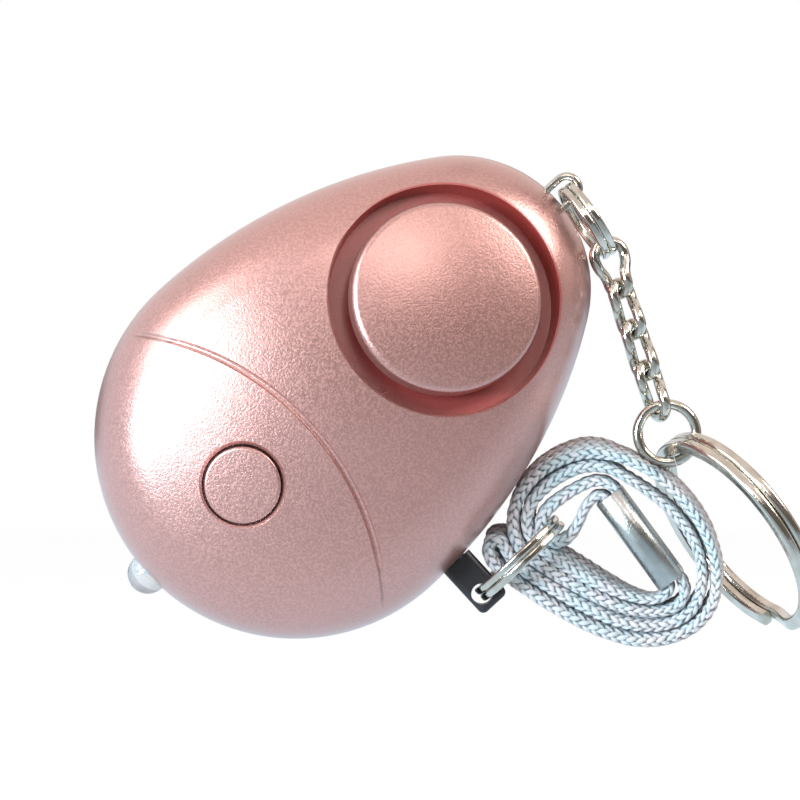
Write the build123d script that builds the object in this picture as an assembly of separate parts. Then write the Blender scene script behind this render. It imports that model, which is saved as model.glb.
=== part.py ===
from build123d import *

import math
import os

# Personal safety alarm: an egg-shaped siren that a pull pin sets off, with a
# press light at its wide end, a key ring on a short chain at its narrow end,
# and a rolled wrist strap on the pin. All sizes are in millimetres.
# Frame: X runs to the right, Z up, and the face of the egg looks along -Y.
# The origin is the middle of the flat on the egg's back.

# Egg, seen from the front
egg_length = 62.0
wide_radius = 22.37
narrow_radius = 14.89
flank_radius = 60.9
lean = 42.6

# Egg, seen from the side
body_thickness = 24.0
parting_height = 11.0
dome_radius = 70.0
dome_peak = 6.0
front_round = 9.6
back_round = 9.2
wall = 1.9

# Joint between the two shells
lip_inset = 1.0
lip_height = 1.0
lip_gap = 0.1
seam_width = 0.3
seam_depth = 0.35

# Styling groove on the face
groove_middle = 2.4
groove_reach = 17.0
groove_plan_radius = 31.4
groove_radius = 0.42
groove_rise = 0.08

# Speaker, on its own axis square to the dome
speaker_x = 23.0
recess_radius = 13.2
recess_floor_radius = 12.5
recess_depth = 3.2
recess_wall = 1.4
recess_floor = 1.5
recess_bevel = 0.2
cover_radius = 10.6
cover_edge_rise = 1.15
cover_crown = 1.25
cover_thickness = 2.6
cover_edge_round = 0.8
cover_peg_radius = 0.9
cover_peg_circle = 8.0
sound_hole_radius = 1.3
sound_hole_circle = 4.4
sound_hole_count = 6
cover_peg_count = 3

# Siren under the speaker
gasket_thickness = 0.8
gasket_width = 1.8
siren_radius = 9.9
siren_depth = 4.6
siren_wall = 0.9
siren_vent_radius = 1.5
piezo_radius = 8.7
piezo_thickness = 0.3
piezo_drop = 1.2
ceramic_radius = 6.4
ceramic_thickness = 0.25
siren_wire_radius = 0.4
siren_wire_spread = 1.3

# Press light's button and switch
button_x = -7.4
button_radius = 4.2
button_gap = 0.28
button_dish_radius = 5.05
button_dish_depth = 0.42
button_proud = 0.2
button_round = 0.3
button_flange_width = 0.9
button_flange_thickness = 0.8
button_travel = 0.5
collar_width = 1.9
collar_depth = 1.3
switch_size = 4.5
switch_height = 1.7
plunger_radius = 1.0
plunger_fit = 0.05
plunger_depth = 0.8

# Light
led_radius = 2.28
led_fit = 0.06
led_flange_width = 0.45
led_flange_thickness = 0.8
led_flange_depth = 2.3
led_dish_radius = 3.3
led_dish_depth = 0.45
led_lead_radius = 0.25
led_lead_spread = 1.27
led_lead_bend = 0.8
led_lead_inset = 2.19

# Circuit board and what it carries
board_under = 15.0
board_thickness = 1.0
board_radius = 15.2
board_end = 8.4
board_tab_width = 6.0
board_tab_reach = 17.4
board_screw_x = -2.0
board_screw_y = 12.4
board_boss_radius = 1.9
board_screw_radius = 0.7
board_screw_head_radius = 1.35
board_screw_head = 0.9
board_screw_length = 4.2
chip_length = 5.0
chip_width = 3.9
chip_height = 1.4
chip_leg = 0.4
chip_legs_a_side = 4
coil_radius = 2.5
coil_core_radius = 1.5
coil_height = 3.6
coil_flange = 0.6
transistor_radius = 2.2
transistor_height = 3.4
capacitor_radius = 2.0
capacitor_height = 3.8

# Cells and their contacts
cell_radius = 5.8
cell_height = 5.4
cell_cap_radius = 4.6
cell_cap_height = 0.35
cell_count = 3
cell_gap = 0.05
cell_x = 1.5
tray_base = 0.9
tray_wall = 0.9
tray_fit = 0.15
contact_thickness = 0.35
contact_width = 5.0
spring_reach = 1.5
spring_round = 0.7

# Screws that close the case
case_screw_x = -9.5
case_screw_spread = 30.0
case_screw_setback = 6.03
screw_seat = 4.8
screw_head_radius = 1.75
screw_head = 1.3
screw_radius = 0.9
screw_end = 13.5
screw_fit = 0.04
screw_slot_width = 0.45
screw_slot_depth = 0.7
boss_radius = 2.3
well_gap = 0.25

# Pull pin
pin_x = 3.95
pin_radius = 1.2
pin_insert = 6.6
pin_fit = 0.08
pin_tip_round = 0.6
pin_head_length = 6.4
pin_head_width = 3.8
pin_head_round = 0.7
pin_head_gap = 0.12
pin_hole_radius = 1.2
pin_hole_offset = 0.35
pin_hole_edge = 0.65
bush_radius = 2.2
bush_length = 3.8
bush_depth = 1.3
leaf_thickness = 0.25
leaf_width = 1.4
leaf_length = 5.4
leaf_gap = 0.06

# Wire loop, chain and rings
staple_wire = 0.9
staple_spread = 2.76
staple_reach = 3.4
staple_foot = 1.3
staple_foot_setback = 2.75
staple_fit = 0.06
small_ring_radius = 4.3
small_ring_wire = 0.85
small_ring_slant = 33.5
small_ring_turn = 5.0
chain_slant = 18.0
chain_wire = 1.2
chain_pitch = 4.8
chain_bow_radius = 1.4
chain_first_bow_radius = 1.68
chain_last_bow_radius = 1.6
chain_gap = 0.12
first_link_gap = 0.3
chain_twist = 45.0
chain_last_twist = 60.0
link_count = 4
jump_ring_radius = 3.27
jump_ring_wire = 1.15
jump_ring_cut = 0.15
key_ring_outer_radius = 12.7
key_ring_axial = 1.25
key_ring_radial = 1.6
key_ring_round = 0.45
key_ring_slant = 35.4
key_ring_tilt = 70.0
key_ring_gap = 0.3
pin_ring_radius = 5.8
pin_ring_wire = 0.85
pin_ring_slant = 46.7
coil_gap = 0.06
coil_jog = 30.0
jog_sections = 7

# Wrist strap and its crimp
strap_width = 5.0
strap_thickness = 1.0
ferrule_length = 11.9
ferrule_wall = 0.35
ferrule_gap = 0.04
core_margin = 0.07
strand_gap = 0.46
strap_seat = 1.2
mouth_reach = 0.8
ferrule_slant = 36.2
crimp_right = 9.26
crimp_below = 1.69

# One overrun for every cut that has to pass a face
overrun = 2.0

# Share of the shorter run that each corner of a route may take
corner_share = 0.45

# Edge rounds, as shares of what they soften: the crimp's thickness, the capacitor's
# radius, the screws' heads, the round wire of the small rings, and the staple's wire
crimp_round_share = 0.2
capacitor_round_share = 0.25
screw_round_share = 0.25
ring_round_share = 0.333
staple_bend_share = 0.667

# Reach of a screw's crossed slot and of the transistor's flat, as shares of the radius
screw_slot_share = 0.667
transistor_flat_share = 0.5

# The strap's route, seen from the front, from the middle of the crimp: out of
# its upper end into the small loop and back, then out of its lower end, round
# the roll, back at the fold and in again. Places are from the crimp's middle.
loop_route = [
    (-5.00, 6.37), (-6.88, 5.66), (-8.65, 4.60), (-10.62, 3.08), (-11.40, 1.35), (-10.78, -0.05),
    (-9.45, -0.70), (-8.02, -0.12), (-6.95, 1.70), (-6.32, 3.50),
]
roll_route = [
    (4.85, -6.60), (3.80, -8.10), (1.40, -8.60), (-1.95, -8.15), (-5.25, -6.85), (-8.50, -5.10),
    (-11.50, -3.25), (-13.85, -1.35), (-14.55, 1.20), (-14.05, 3.75), (-12.60, 5.95),
    (-10.60, 7.60), (-8.20, 8.75), (-5.55, 9.30), (-2.55, 8.90), (0.45, 7.70), (3.10, 5.75),
    (5.35, 3.25), (7.10, 0.55), (8.10, -2.15), (8.40, -5.20), (7.85, -8.10), (5.75, -10.50),
    (2.65, -11.75), (-0.75, -11.90), (-4.10, -10.95), (-7.35, -9.50), (-10.50, -7.70),
    (-13.60, -5.60), (-16.20, -3.70), (-17.15, -2.25), (-17.10, -0.75), (-15.55, -0.55), (-14.95, -2.25),
    (-12.85, -4.25), (-9.60, -6.20), (-6.35, -8.00), (-3.10, -9.50), (0.20, -10.25), (3.40, -9.90),
    (5.85, -8.30), (6.85, -5.30), (6.55, -2.20), (5.45, 0.30), (3.75, 2.50), (1.60, 4.45),
    (-0.90, 6.20), (-3.75, 7.74), (-6.50, 7.74), (-9.05, 6.55), (-11.25, 4.95), (-12.65, 3.05),
    (-12.95, 1.10), (-12.05, -0.85), (-9.75, -2.65), (-6.95, -4.35), (-4.05, -5.75),
    (-0.95, -6.80), (1.70, -7.10),
]


def arc_centre_offset():
    """Place of a flank's centre, along and across the egg."""
    to_wide = flank_radius - wide_radius
    to_narrow = flank_radius - narrow_radius
    along = (to_wide**2 - to_narrow**2 + narrow_x**2) / (2 * narrow_x)
    return along, math.sqrt(to_wide**2 - along**2)


narrow_x = egg_length - wide_radius - narrow_radius
flank_x, flank_y = arc_centre_offset()
wide_turn = math.degrees(math.atan2(flank_y, -flank_x))
narrow_turn = math.degrees(math.atan2(flank_y, narrow_x - flank_x))
tip_x = narrow_x + narrow_radius
mid_x = tip_x - egg_length / 2

lean_along = Vector(math.cos(math.radians(lean)), 0, math.sin(math.radians(lean)))
body_place = Plane(origin=lean_along * -mid_x, x_dir=lean_along, z_dir=(0, -1, 0)).location


def dome_height(x, y=0):
    """Height of the dome above the back, at a place on the egg."""
    return body_thickness - dome_radius + math.sqrt(dome_radius**2 - (x - dome_peak) ** 2 - y**2)


def flank_width(x):
    """Distance from the long axis to the egg's flank."""
    return math.sqrt(flank_radius**2 - (x - flank_x) ** 2) - flank_y


def egg_face(inset):
    """The egg's outline as a face, drawn in all round."""
    flank = flank_radius - inset
    outline = [
        CenterArc((0, 0), wide_radius - inset, wide_turn, 360 - 2 * wide_turn),
        CenterArc((flank_x, flank_y), flank, -wide_turn, wide_turn - narrow_turn),
        CenterArc((narrow_x, 0), narrow_radius - inset, -narrow_turn, 2 * narrow_turn),
        CenterArc((flank_x, -flank_y), flank, narrow_turn, wide_turn - narrow_turn),
    ]
    return make_face(outline)


def egg_slab(inset, low, high):
    """A flat slice with the egg's outline."""
    return extrude(Pos(0, 0, low) * egg_face(inset), amount=high - low)


def pebble(inset):
    """The whole rounded body, drawn in all round."""
    ball = Pos(dome_peak, 0, body_thickness - dome_radius) * Rot(90, 0, 0) * Sphere(dome_radius - inset)
    block = egg_slab(inset, inset, body_thickness) & ball
    rims = block.edges().filter_by(lambda edge: edge.geom_type != GeomType.LINE)
    block = fillet([edge for edge in rims if edge.center().Z > parting_height], front_round - inset)
    back_rim = [edge for edge in block.edges() if edge.bounding_box().max.Z < inset + wall / 2]
    return fillet(back_rim, back_round - inset)


def rod(radius, start, end):
    """A round rod from one place to another."""
    start, end = Vector(start), Vector(end)
    axis = end - start
    return extrude(Plane(origin=start, z_dir=axis.normalized()) * Circle(radius), amount=axis.length)


def rod_up(radius, x, y, low, high):
    """A round rod square to the egg's back."""
    return rod(radius, (x, y, low), (x, y, high))


def box_between(low, high):
    """A box given by two corners."""
    low, high = Vector(low), Vector(high)
    return Pos(*low) * Box(*(high - low), align=(Align.MIN, Align.MIN, Align.MIN))


def corner_radii(points):
    """Radius at each corner of a route: as large as its two runs allow."""
    radii = []
    for before, here, after in zip(points, points[1:], points[2:]):
        run_in = Vector(*here) - Vector(*before)
        run_out = Vector(*after) - Vector(*here)
        turn = math.radians(run_in.get_angle(run_out))
        radii.append(corner_share * min(run_in.length, run_out.length) / math.tan(turn / 2))
    return radii


def band(plane, points, radii, thickness, width):
    """A flat strip that follows a route drawn on a plane, square to that plane."""
    path = plane * FilletPolyline(*points, radius=radii)
    start = Plane(origin=path @ 0, x_dir=plane.z_dir, z_dir=path % 0)
    return sweep(start * Rectangle(width, thickness), path=path), path


# Speaker and button places on the dome
speaker_slope = math.asin((speaker_x - dome_peak) / dome_radius)
speaker_place = Plane(
    origin=(speaker_x, 0, dome_height(speaker_x)),
    x_dir=(math.cos(speaker_slope), 0, -math.sin(speaker_slope)),
    z_dir=(math.sin(speaker_slope), 0, math.cos(speaker_slope)),
).location
rim_drop = dome_radius - math.sqrt(dome_radius**2 - recess_radius**2)
floor_top = -rim_drop - recess_depth
floor_under = floor_top - recess_floor
cover_edge = cover_edge_rise - rim_drop
siren_top = floor_under - gasket_thickness

button_slope = math.asin((button_x - dome_peak) / dome_radius)
button_place = Plane(
    origin=(button_x, 0, dome_height(button_x)),
    x_dir=(math.cos(button_slope), 0, -math.sin(button_slope)),
    z_dir=(math.sin(button_slope), 0, math.cos(button_slope)),
).location
collar_radius = button_radius + button_gap + collar_width
collar_under = dome_height(button_x) - wall - collar_depth
flange_radius = button_radius + button_gap + button_flange_width
flange_top = collar_under - button_gap
flange_under = flange_top - button_flange_thickness
board_top = board_under + board_thickness
switch_top = board_top + switch_height

led_tip_x = -wide_radius
led_flange_x = led_tip_x + led_flange_depth
pin_flank = -flank_width(pin_x)
pin_end = pin_flank + pin_insert
bush_start = pin_flank + bush_depth
bush_end = bush_start + bush_length
staple_inside_x = tip_x - staple_foot_setback
case_screw_places = [(case_screw_x, side * case_screw_spread / 2) for side in (1, -1)]
case_screw_places.append((tip_x - case_screw_setback, 0))

cell_z = wall + tray_base + tray_fit + cell_radius
stack_length = cell_count * cell_height + (cell_count - 1) * cell_gap
stack_end = stack_length / 2
plus_plate = stack_end + cell_gap
minus_plate = -stack_end - spring_reach
tray_plus_end = plus_plate + contact_thickness + cell_gap + tray_wall
tray_minus_end = minus_plate - contact_thickness - cell_gap - tray_wall


def shared_openings():
    """Holes that pass through the parting line, cut from both shells."""
    led_hole = rod(
        led_radius + led_fit,
        (led_tip_x - overrun, 0, parting_height), (led_flange_x + overrun, 0, parting_height),
    )
    led_pocket = rod(
        led_radius + led_flange_width + led_fit,
        (led_flange_x, 0, parting_height), (led_flange_x + overrun, 0, parting_height),
    )
    dish_start = led_tip_x - led_dish_depth
    led_dish = Pos(dish_start, 0, parting_height) * Rot(0, 90, 0) * Cone(
        led_dish_radius + led_dish_depth, led_radius + led_fit, 2 * led_dish_depth,
        align=(Align.CENTER, Align.CENTER, Align.MIN),
    )
    pin_hole = rod(
        pin_radius + pin_fit,
        (pin_x, pin_flank - overrun, parting_height), (pin_x, bush_start + overrun, parting_height),
    )
    legs = [
        rod(
            staple_wire / 2 + staple_fit,
            (staple_inside_x, side * staple_spread / 2, parting_height),
            (tip_x + overrun, side * staple_spread / 2, parting_height),
        )
        for side in (-1, 1)
    ]
    bush_seat = rod(
        bush_radius + screw_fit,
        (pin_x, bush_start, parting_height), (pin_x, bush_start + overrun, parting_height),
    )
    return [led_hole, led_dish, led_pocket, pin_hole, bush_seat] + legs


def make_groove():
    """The shallow curved line across the face: a ring laid in the dome's surface."""
    centre_x = groove_middle - groove_plan_radius
    side_x = centre_x + math.sqrt(groove_plan_radius**2 - groove_reach**2)
    middle = Vector(groove_middle, 0, dome_height(groove_middle) + groove_rise)
    side = Vector(side_x, 0, dome_height(side_x, groove_reach) + groove_rise)
    drop = middle - side
    radius = (groove_reach**2 + drop.length**2) / (2 * drop.length)
    inward = drop.normalized() * -1
    centre = middle + inward * radius
    ring = Plane(origin=centre, x_dir=inward, z_dir=inward.cross(Vector(0, 1, 0)))
    return ring * Torus(radius, groove_radius)


def make_front_shell(outer, inner):
    """Front shell with the speaker recess, button well, bosses and lip."""
    above = egg_slab(-overrun, parting_height, body_thickness + overrun)
    shell = (outer - inner) & above
    lip = egg_slab(lip_inset, parting_height - lip_height, parting_height + lip_height)
    shell += lip - egg_slab(wall, parting_height - 2 * lip_height, parting_height + 2 * lip_height)

    backing = pebble(wall / 2)
    cup = speaker_place * Pos(0, 0, floor_under) * Cylinder(
        recess_radius + recess_wall, body_thickness, align=(Align.CENTER, Align.CENTER, Align.MIN)
    )
    cup = cup & egg_slab(-overrun, parting_height, body_thickness + overrun)
    collar = rod_up(collar_radius, button_x, 0, collar_under, body_thickness)
    bosses = [rod_up(boss_radius, x, y, parting_height, body_thickness) for x, y in case_screw_places]
    bosses += [
        rod_up(board_boss_radius, board_screw_x, side * board_screw_y, board_top, body_thickness)
        for side in (-1, 1)
    ]
    inside = [collar & backing, cup & backing]
    inside += [boss & backing for boss in bosses]
    for piece in inside:
        shell += piece

    rim = -rim_drop
    section = Plane.XZ * make_face(Polyline(
        (0, floor_top),
        (recess_floor_radius, floor_top),
        (recess_radius - recess_bevel, rim - recess_bevel),
        (recess_radius + overrun, rim + overrun),
        (0, rim + overrun),
        close=True,
    ))
    shell -= speaker_place * revolve(section, Axis.Z)

    floor_cut = (floor_under - overrun, floor_top + overrun)
    for place in PolarLocations(sound_hole_circle, sound_hole_count):
        shell -= speaker_place * place * rod_up(sound_hole_radius, 0, 0, *floor_cut)
    for place in PolarLocations(cover_peg_circle, cover_peg_count):
        shell -= speaker_place * place * rod_up(cover_peg_radius + pin_fit, 0, 0, *floor_cut)

    shell -= rod_up(button_radius + button_gap, button_x, 0, collar_under - overrun, body_thickness + overrun)
    dish_fall = button_dish_depth + button_gap
    shell -= button_place * Pos(0, 0, -dish_fall) * Cone(
        button_radius, 2 * button_dish_radius - button_radius, 2 * dish_fall,
        align=(Align.CENTER, Align.CENTER, Align.MIN),
    )
    for x, y in case_screw_places:
        shell -= rod_up(screw_radius + screw_fit, x, y, parting_height - overrun, screw_end + screw_fit)
    for side in (-1, 1):
        shell -= rod_up(
            board_screw_radius + screw_fit, board_screw_x, side * board_screw_y,
            board_top - overrun, board_under + board_screw_length + screw_fit,
        )
    shell -= make_groove()
    seam = egg_slab(-overrun, parting_height, parting_height + seam_width)
    shell -= seam - egg_slab(seam_depth, parting_height, parting_height + seam_width)
    for opening in shared_openings():
        shell -= opening
    return shell


def make_rear_shell(outer, inner):
    """Rear shell with screw bosses, their wells and the step for the lip."""
    below = egg_slab(-overrun, -overrun, parting_height)
    shell = (outer - inner) & below
    shell -= egg_slab(lip_inset - lip_gap, parting_height - lip_height - lip_gap, parting_height + overrun)
    backing = pebble(wall / 2)
    for x, y in case_screw_places:
        boss = rod_up(boss_radius, x, y, 0, parting_height - lip_gap)
        shell += boss & backing
    for x, y in case_screw_places:
        shell -= rod_up(screw_radius + screw_fit, x, y, 0, parting_height + overrun)
        shell -= rod_up(screw_head_radius + well_gap, x, y, -overrun, screw_seat)
    for opening in shared_openings():
        shell -= opening
    return shell


def make_speaker_cover():
    """Domed disc that stands in the recess on three pegs."""
    crown_radius = (cover_radius**2 + cover_crown**2) / (2 * cover_crown)
    under = cover_edge - cover_thickness
    disc = Pos(0, 0, under) * Cylinder(
        cover_radius, cover_thickness + cover_crown, align=(Align.CENTER, Align.CENTER, Align.MIN)
    )
    crown = Pos(0, 0, cover_edge + cover_crown - crown_radius) * Rot(90, 0, 0) * Sphere(crown_radius)
    disc = disc & crown
    rim = disc.edges().filter_by(lambda edge: edge.center().Z > under + cover_thickness / 2)
    disc = fillet(rim.filter_by(GeomType.CIRCLE), cover_edge_round)
    for place in PolarLocations(cover_peg_circle, cover_peg_count):
        disc += place * rod_up(cover_peg_radius, 0, 0, floor_under, under + cover_thickness / 2)
    return speaker_place * disc


def make_siren():
    """Gasket, chamber, sounder plate and its ceramic, in line under the speaker."""
    gasket = rod_up(siren_radius, 0, 0, siren_top, floor_under)
    gasket -= rod_up(siren_radius - gasket_width, 0, 0, siren_top - overrun, floor_under + overrun)

    bottom = siren_top - siren_depth
    plate_top = siren_top - piezo_drop
    plate_under = plate_top - piezo_thickness
    chamber = rod_up(siren_radius, 0, 0, bottom, siren_top)
    chamber -= rod_up(piezo_radius + pin_fit, 0, 0, plate_under, siren_top + overrun)
    chamber -= rod_up(piezo_radius - siren_wall, 0, 0, bottom + siren_wall, plate_under + overrun)
    chamber -= rod_up(siren_vent_radius, 0, 0, bottom - overrun, bottom + overrun)

    plate = rod_up(piezo_radius, 0, 0, plate_under, plate_top)
    ceramic = rod_up(ceramic_radius, 0, 0, plate_under - ceramic_thickness, plate_under)
    return {
        "siren_gasket": speaker_place * gasket,
        "siren_housing": speaker_place * chamber,
        "piezo_plate": speaker_place * plate,
        "piezo_ceramic": speaker_place * ceramic,
    }


def make_siren_wires():
    """Two short wires from the siren to the edge of the board."""
    level = board_under + board_thickness / 2
    slope = math.tan(speaker_slope)
    side_x = speaker_x - siren_radius / math.cos(speaker_slope) - slope * (dome_height(speaker_x) - level)
    wires = []
    for side in (-1, 1):
        y = side * siren_wire_spread
        wires.append(rod(siren_wire_radius, (board_end, y, level), (side_x, y, level)))
    return wires


def make_button():
    """Cap of the press light: a round face on a flange that the shell holds in."""
    cap = rod_up(button_radius, button_x, 0, flange_top, body_thickness + overrun)
    ball = Pos(dome_peak, 0, body_thickness - dome_radius) * Rot(90, 0, 0) * Sphere(dome_radius + button_proud)
    cap = cap & ball
    rim = cap.edges().filter_by(lambda edge: edge.bounding_box().min.Z > flange_top + button_gap)
    cap = fillet([edge for edge in rim if edge.geom_type != GeomType.LINE], button_round)
    return cap + rod_up(flange_radius, button_x, 0, flange_under, flange_top)


def make_switch():
    """Push switch on the board and the plunger that the button rests on."""
    half = switch_size / 2
    body = box_between((button_x - half, -half, board_top), (button_x + half, half, switch_top))
    well_floor = switch_top - plunger_depth - button_travel
    body -= rod_up(plunger_radius + plunger_fit, button_x, 0, well_floor, switch_top + overrun)
    plunger = rod_up(plunger_radius, button_x, 0, switch_top - plunger_depth, flange_under)
    return body, plunger


def make_led():
    """Clear lamp with its flange behind the wall, and its two bent leads."""
    lamp = rod(led_radius, (led_tip_x, 0, parting_height), (led_flange_x + led_fit, 0, parting_height))
    dome = Pos(led_tip_x, 0, parting_height) * Sphere(led_radius)
    lamp += dome - box_between(
        (led_tip_x, -wide_radius, 0), (led_tip_x + wide_radius, wide_radius, body_thickness)
    )
    flange_start = led_flange_x + led_fit
    flange_end = flange_start + led_flange_thickness
    run = led_lead_inset - board_radius - flange_end
    lamp += rod(
        led_radius + led_flange_width, (flange_start, 0, parting_height), (flange_end, 0, parting_height)
    )

    leads = []
    for side in (-1, 1):
        outlet = (flange_end, side * led_lead_spread, parting_height)
        plane = Plane(origin=outlet, x_dir=(1, 0, 0), z_dir=(0, -1, 0))
        rise = board_under - parting_height
        path = plane * FilletPolyline((0, 0), (run, 0), (run, rise), radius=led_lead_bend)
        start = Plane(origin=path @ 0, z_dir=path % 0)
        leads.append(sweep(start * Circle(led_lead_radius), path=path))
    return lamp, leads


def make_board():
    """Round board cut off straight before the siren, with a tab for the pin's contacts."""
    board = rod_up(board_radius, 0, 0, board_under, board_top)
    board -= box_between((board_end, -wide_radius, 0), (board_end + wide_radius, wide_radius, body_thickness))
    half = board_tab_width / 2
    board += box_between((pin_x - half, -board_tab_reach, board_under), (pin_x + half, -half, board_top))
    for side in (-1, 1):
        board -= rod_up(board_screw_radius + pin_fit, board_screw_x, side * board_screw_y, 0, body_thickness)
    return board


def make_board_screws():
    """Two small screws that hold the board to the front shell."""
    screws = []
    for side in (-1, 1):
        y = side * board_screw_y
        screw = rod_up(board_screw_head_radius, board_screw_x, y, board_under - board_screw_head, board_under)
        screws.append(
            screw + rod_up(board_screw_radius, board_screw_x, y, board_under, board_under + board_screw_length)
        )
    return screws


def make_chip():
    """Driver chip with its legs, on the board."""
    x = board_end - chip_length
    chip = box_between(
        (x - chip_length / 2, -chip_width / 2, board_top + chip_leg),
        (x + chip_length / 2, chip_width / 2, board_top + chip_height),
    )
    pitch = chip_length / chip_legs_a_side
    for side in (-1, 1):
        for index in range(chip_legs_a_side):
            leg_x = x + (index - (chip_legs_a_side - 1) / 2) * pitch
            near, far = side * (chip_width / 2 - chip_leg), side * (chip_width / 2 + chip_leg)
            chip += box_between(
                (leg_x - chip_leg / 2, min(near, far), board_top),
                (leg_x + chip_leg / 2, max(near, far), board_top + 2 * chip_leg),
            )
    return chip


def make_coil():
    """Step-up coil: a drum on its end."""
    x, y = board_end - 2 * coil_radius, -chip_width - coil_radius
    top = board_top + coil_height
    coil = rod_up(coil_core_radius, x, y, board_top, top)
    coil += rod_up(coil_radius, x, y, board_top, board_top + coil_flange)
    return coil + rod_up(coil_radius, x, y, top - coil_flange, top)


def make_transistor():
    """Transistor: a round case with one flat side."""
    x, y = button_x, flange_radius + transistor_radius + well_gap
    case = rod_up(transistor_radius, x, y, board_top, board_top + transistor_height)
    flat = transistor_radius * transistor_flat_share
    return case - box_between(
        (x - wide_radius, y + flat, board_top), (x + wide_radius, y + 2 * transistor_radius, body_thickness)
    )


def make_capacitor():
    """Round capacitor with a softened top edge."""
    x, y = board_end - 2 * capacitor_radius, chip_width + capacitor_radius
    can = rod_up(capacitor_radius, x, y, board_top, board_top + capacitor_height)
    top = can.edges().sort_by(Axis.Z)[-1]
    return fillet(top, capacitor_radius * capacitor_round_share)


def make_cells():
    """Button cells in a row across the egg, each with its raised cap."""
    cells = []
    for index in range(cell_count):
        start = -stack_end + index * (cell_height + cell_gap)
        rim_end = start + cell_height - cell_cap_height
        can_start, can_end = start + cell_cap_height, start + cell_height
        cell = rod(cell_radius, (cell_x, can_start, cell_z), (cell_x, can_end, cell_z))
        cells.append(cell + rod(cell_cap_radius, (cell_x, start, cell_z), (cell_x, rim_end, cell_z)))
    return cells


def make_tray():
    """Cradle for the cells on the rear shell's floor."""
    half = cell_radius + tray_fit + tray_wall
    tray = box_between((cell_x - half, tray_minus_end, wall), (cell_x + half, tray_plus_end, cell_z))
    low, high = tray_minus_end + tray_wall, tray_plus_end - tray_wall
    return tray - rod(cell_radius + tray_fit, (cell_x, low, cell_z), (cell_x, high, cell_z))


def make_cell_contacts():
    """Flat plate at one end of the cells and a bent leaf at the other, both up to the board."""
    half = contact_width / 2
    low = cell_z - half
    plus = box_between(
        (cell_x - half, plus_plate, low), (cell_x + half, plus_plate + contact_thickness, board_under)
    )
    plane = Plane(origin=(cell_x, 0, 0), x_dir=(0, 1, 0), z_dir=(1, 0, 0))
    back = minus_plate - contact_thickness / 2
    tip = -stack_end - contact_thickness
    points = [
        (back, board_under), (back, low), (tip - contact_thickness, cell_z), (tip, cell_z + spring_round),
        (tip - contact_thickness, cell_z + 2 * spring_round),
    ]
    radii = [spring_round / 2, spring_round, spring_round / 2]
    leaf, _ = band(plane, points, radii, contact_thickness, contact_width)
    return plus, leaf


def make_case_screws():
    """Pan head screws, with a crossed slot, that close the case from behind."""
    screws = []
    for x, y in case_screw_places:
        head_top = screw_seat - screw_head
        screw = rod_up(screw_head_radius, x, y, head_top, screw_seat)
        rim = screw.edges().filter_by(GeomType.CIRCLE).sort_by(Axis.Z)[0]
        screw = fillet(rim, screw_head * screw_round_share)
        screw += rod_up(screw_radius, x, y, screw_seat, screw_end)
        half, long = screw_slot_width / 2, screw_head_radius * screw_slot_share
        low, high = head_top - overrun, head_top + screw_slot_depth
        slots = box_between((x - half, y - long, low), (x + half, y + long, high))
        slots += box_between((x - long, y - half, low), (x + long, y + half, high))
        screws.append(screw - slots)
    return screws


def make_pull_pin():
    """Pull pin: a smooth pin with a block for a head, bored for its ring."""
    head_start = pin_flank - pin_head_gap
    head_end = head_start - pin_head_length
    half = pin_head_width / 2
    head = box_between(
        (pin_x - half, head_end, parting_height - half), (pin_x + half, head_start, parting_height + half)
    )
    outer_end = head.faces().sort_by(Axis.Y)[0]
    head = fillet(head.edges().filter_by(Axis.Y) + outer_end.edges(), pin_head_round)
    shank = rod(pin_radius, (pin_x, pin_end, parting_height), (pin_x, head_start - half, parting_height))
    shank = fillet(shank.edges().filter_by(GeomType.CIRCLE).sort_by(Axis.Y)[-1], pin_tip_round)
    hole_y = head_end + pin_hole_edge + pin_hole_radius
    return head + shank - rod_up(pin_hole_radius, pin_x - pin_hole_offset, hole_y, 0, body_thickness)


def make_bush():
    """Guide inside the wall that the pin slides in."""
    ends = ((pin_x, bush_start, parting_height), (pin_x, bush_end, parting_height))
    return rod(bush_radius, *ends) - rod(pin_radius + pin_fit, *ends)


def make_pin_contacts():
    """Fixed strip and spring leaf that the pin's tip holds apart."""
    reach = pin_end - leaf_width / 2 - leaf_gap
    low = board_under - leaf_length
    strips = []
    for side in (-1, 1):
        near = pin_x + side * (pin_radius + leaf_gap)
        far = near + side * leaf_thickness
        strips.append(box_between(
            (min(near, far), reach - leaf_width / 2, low),
            (max(near, far), reach + leaf_width / 2, board_under),
        ))
    return strips


def make_staple():
    """Bent wire loop at the narrow end, its feet turned out behind the wall."""
    half = staple_spread / 2
    crown = tip_x + staple_reach - staple_wire / 2 - half
    foot = half + staple_foot
    bend = staple_wire * staple_bend_share
    plane = Plane(origin=(0, 0, parting_height))
    path = plane * (
        FilletPolyline((staple_inside_x, -foot), (staple_inside_x, -half), (crown, -half), radius=bend)
        + ThreePointArc((crown, -half), (crown + half, 0), (crown, half))
        + FilletPolyline((crown, half), (staple_inside_x, half), (staple_inside_x, foot), radius=bend)
    )
    start = Plane(origin=path @ 0, z_dir=path % 0)
    return sweep(start * Circle(staple_wire / 2), path=path)


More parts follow.
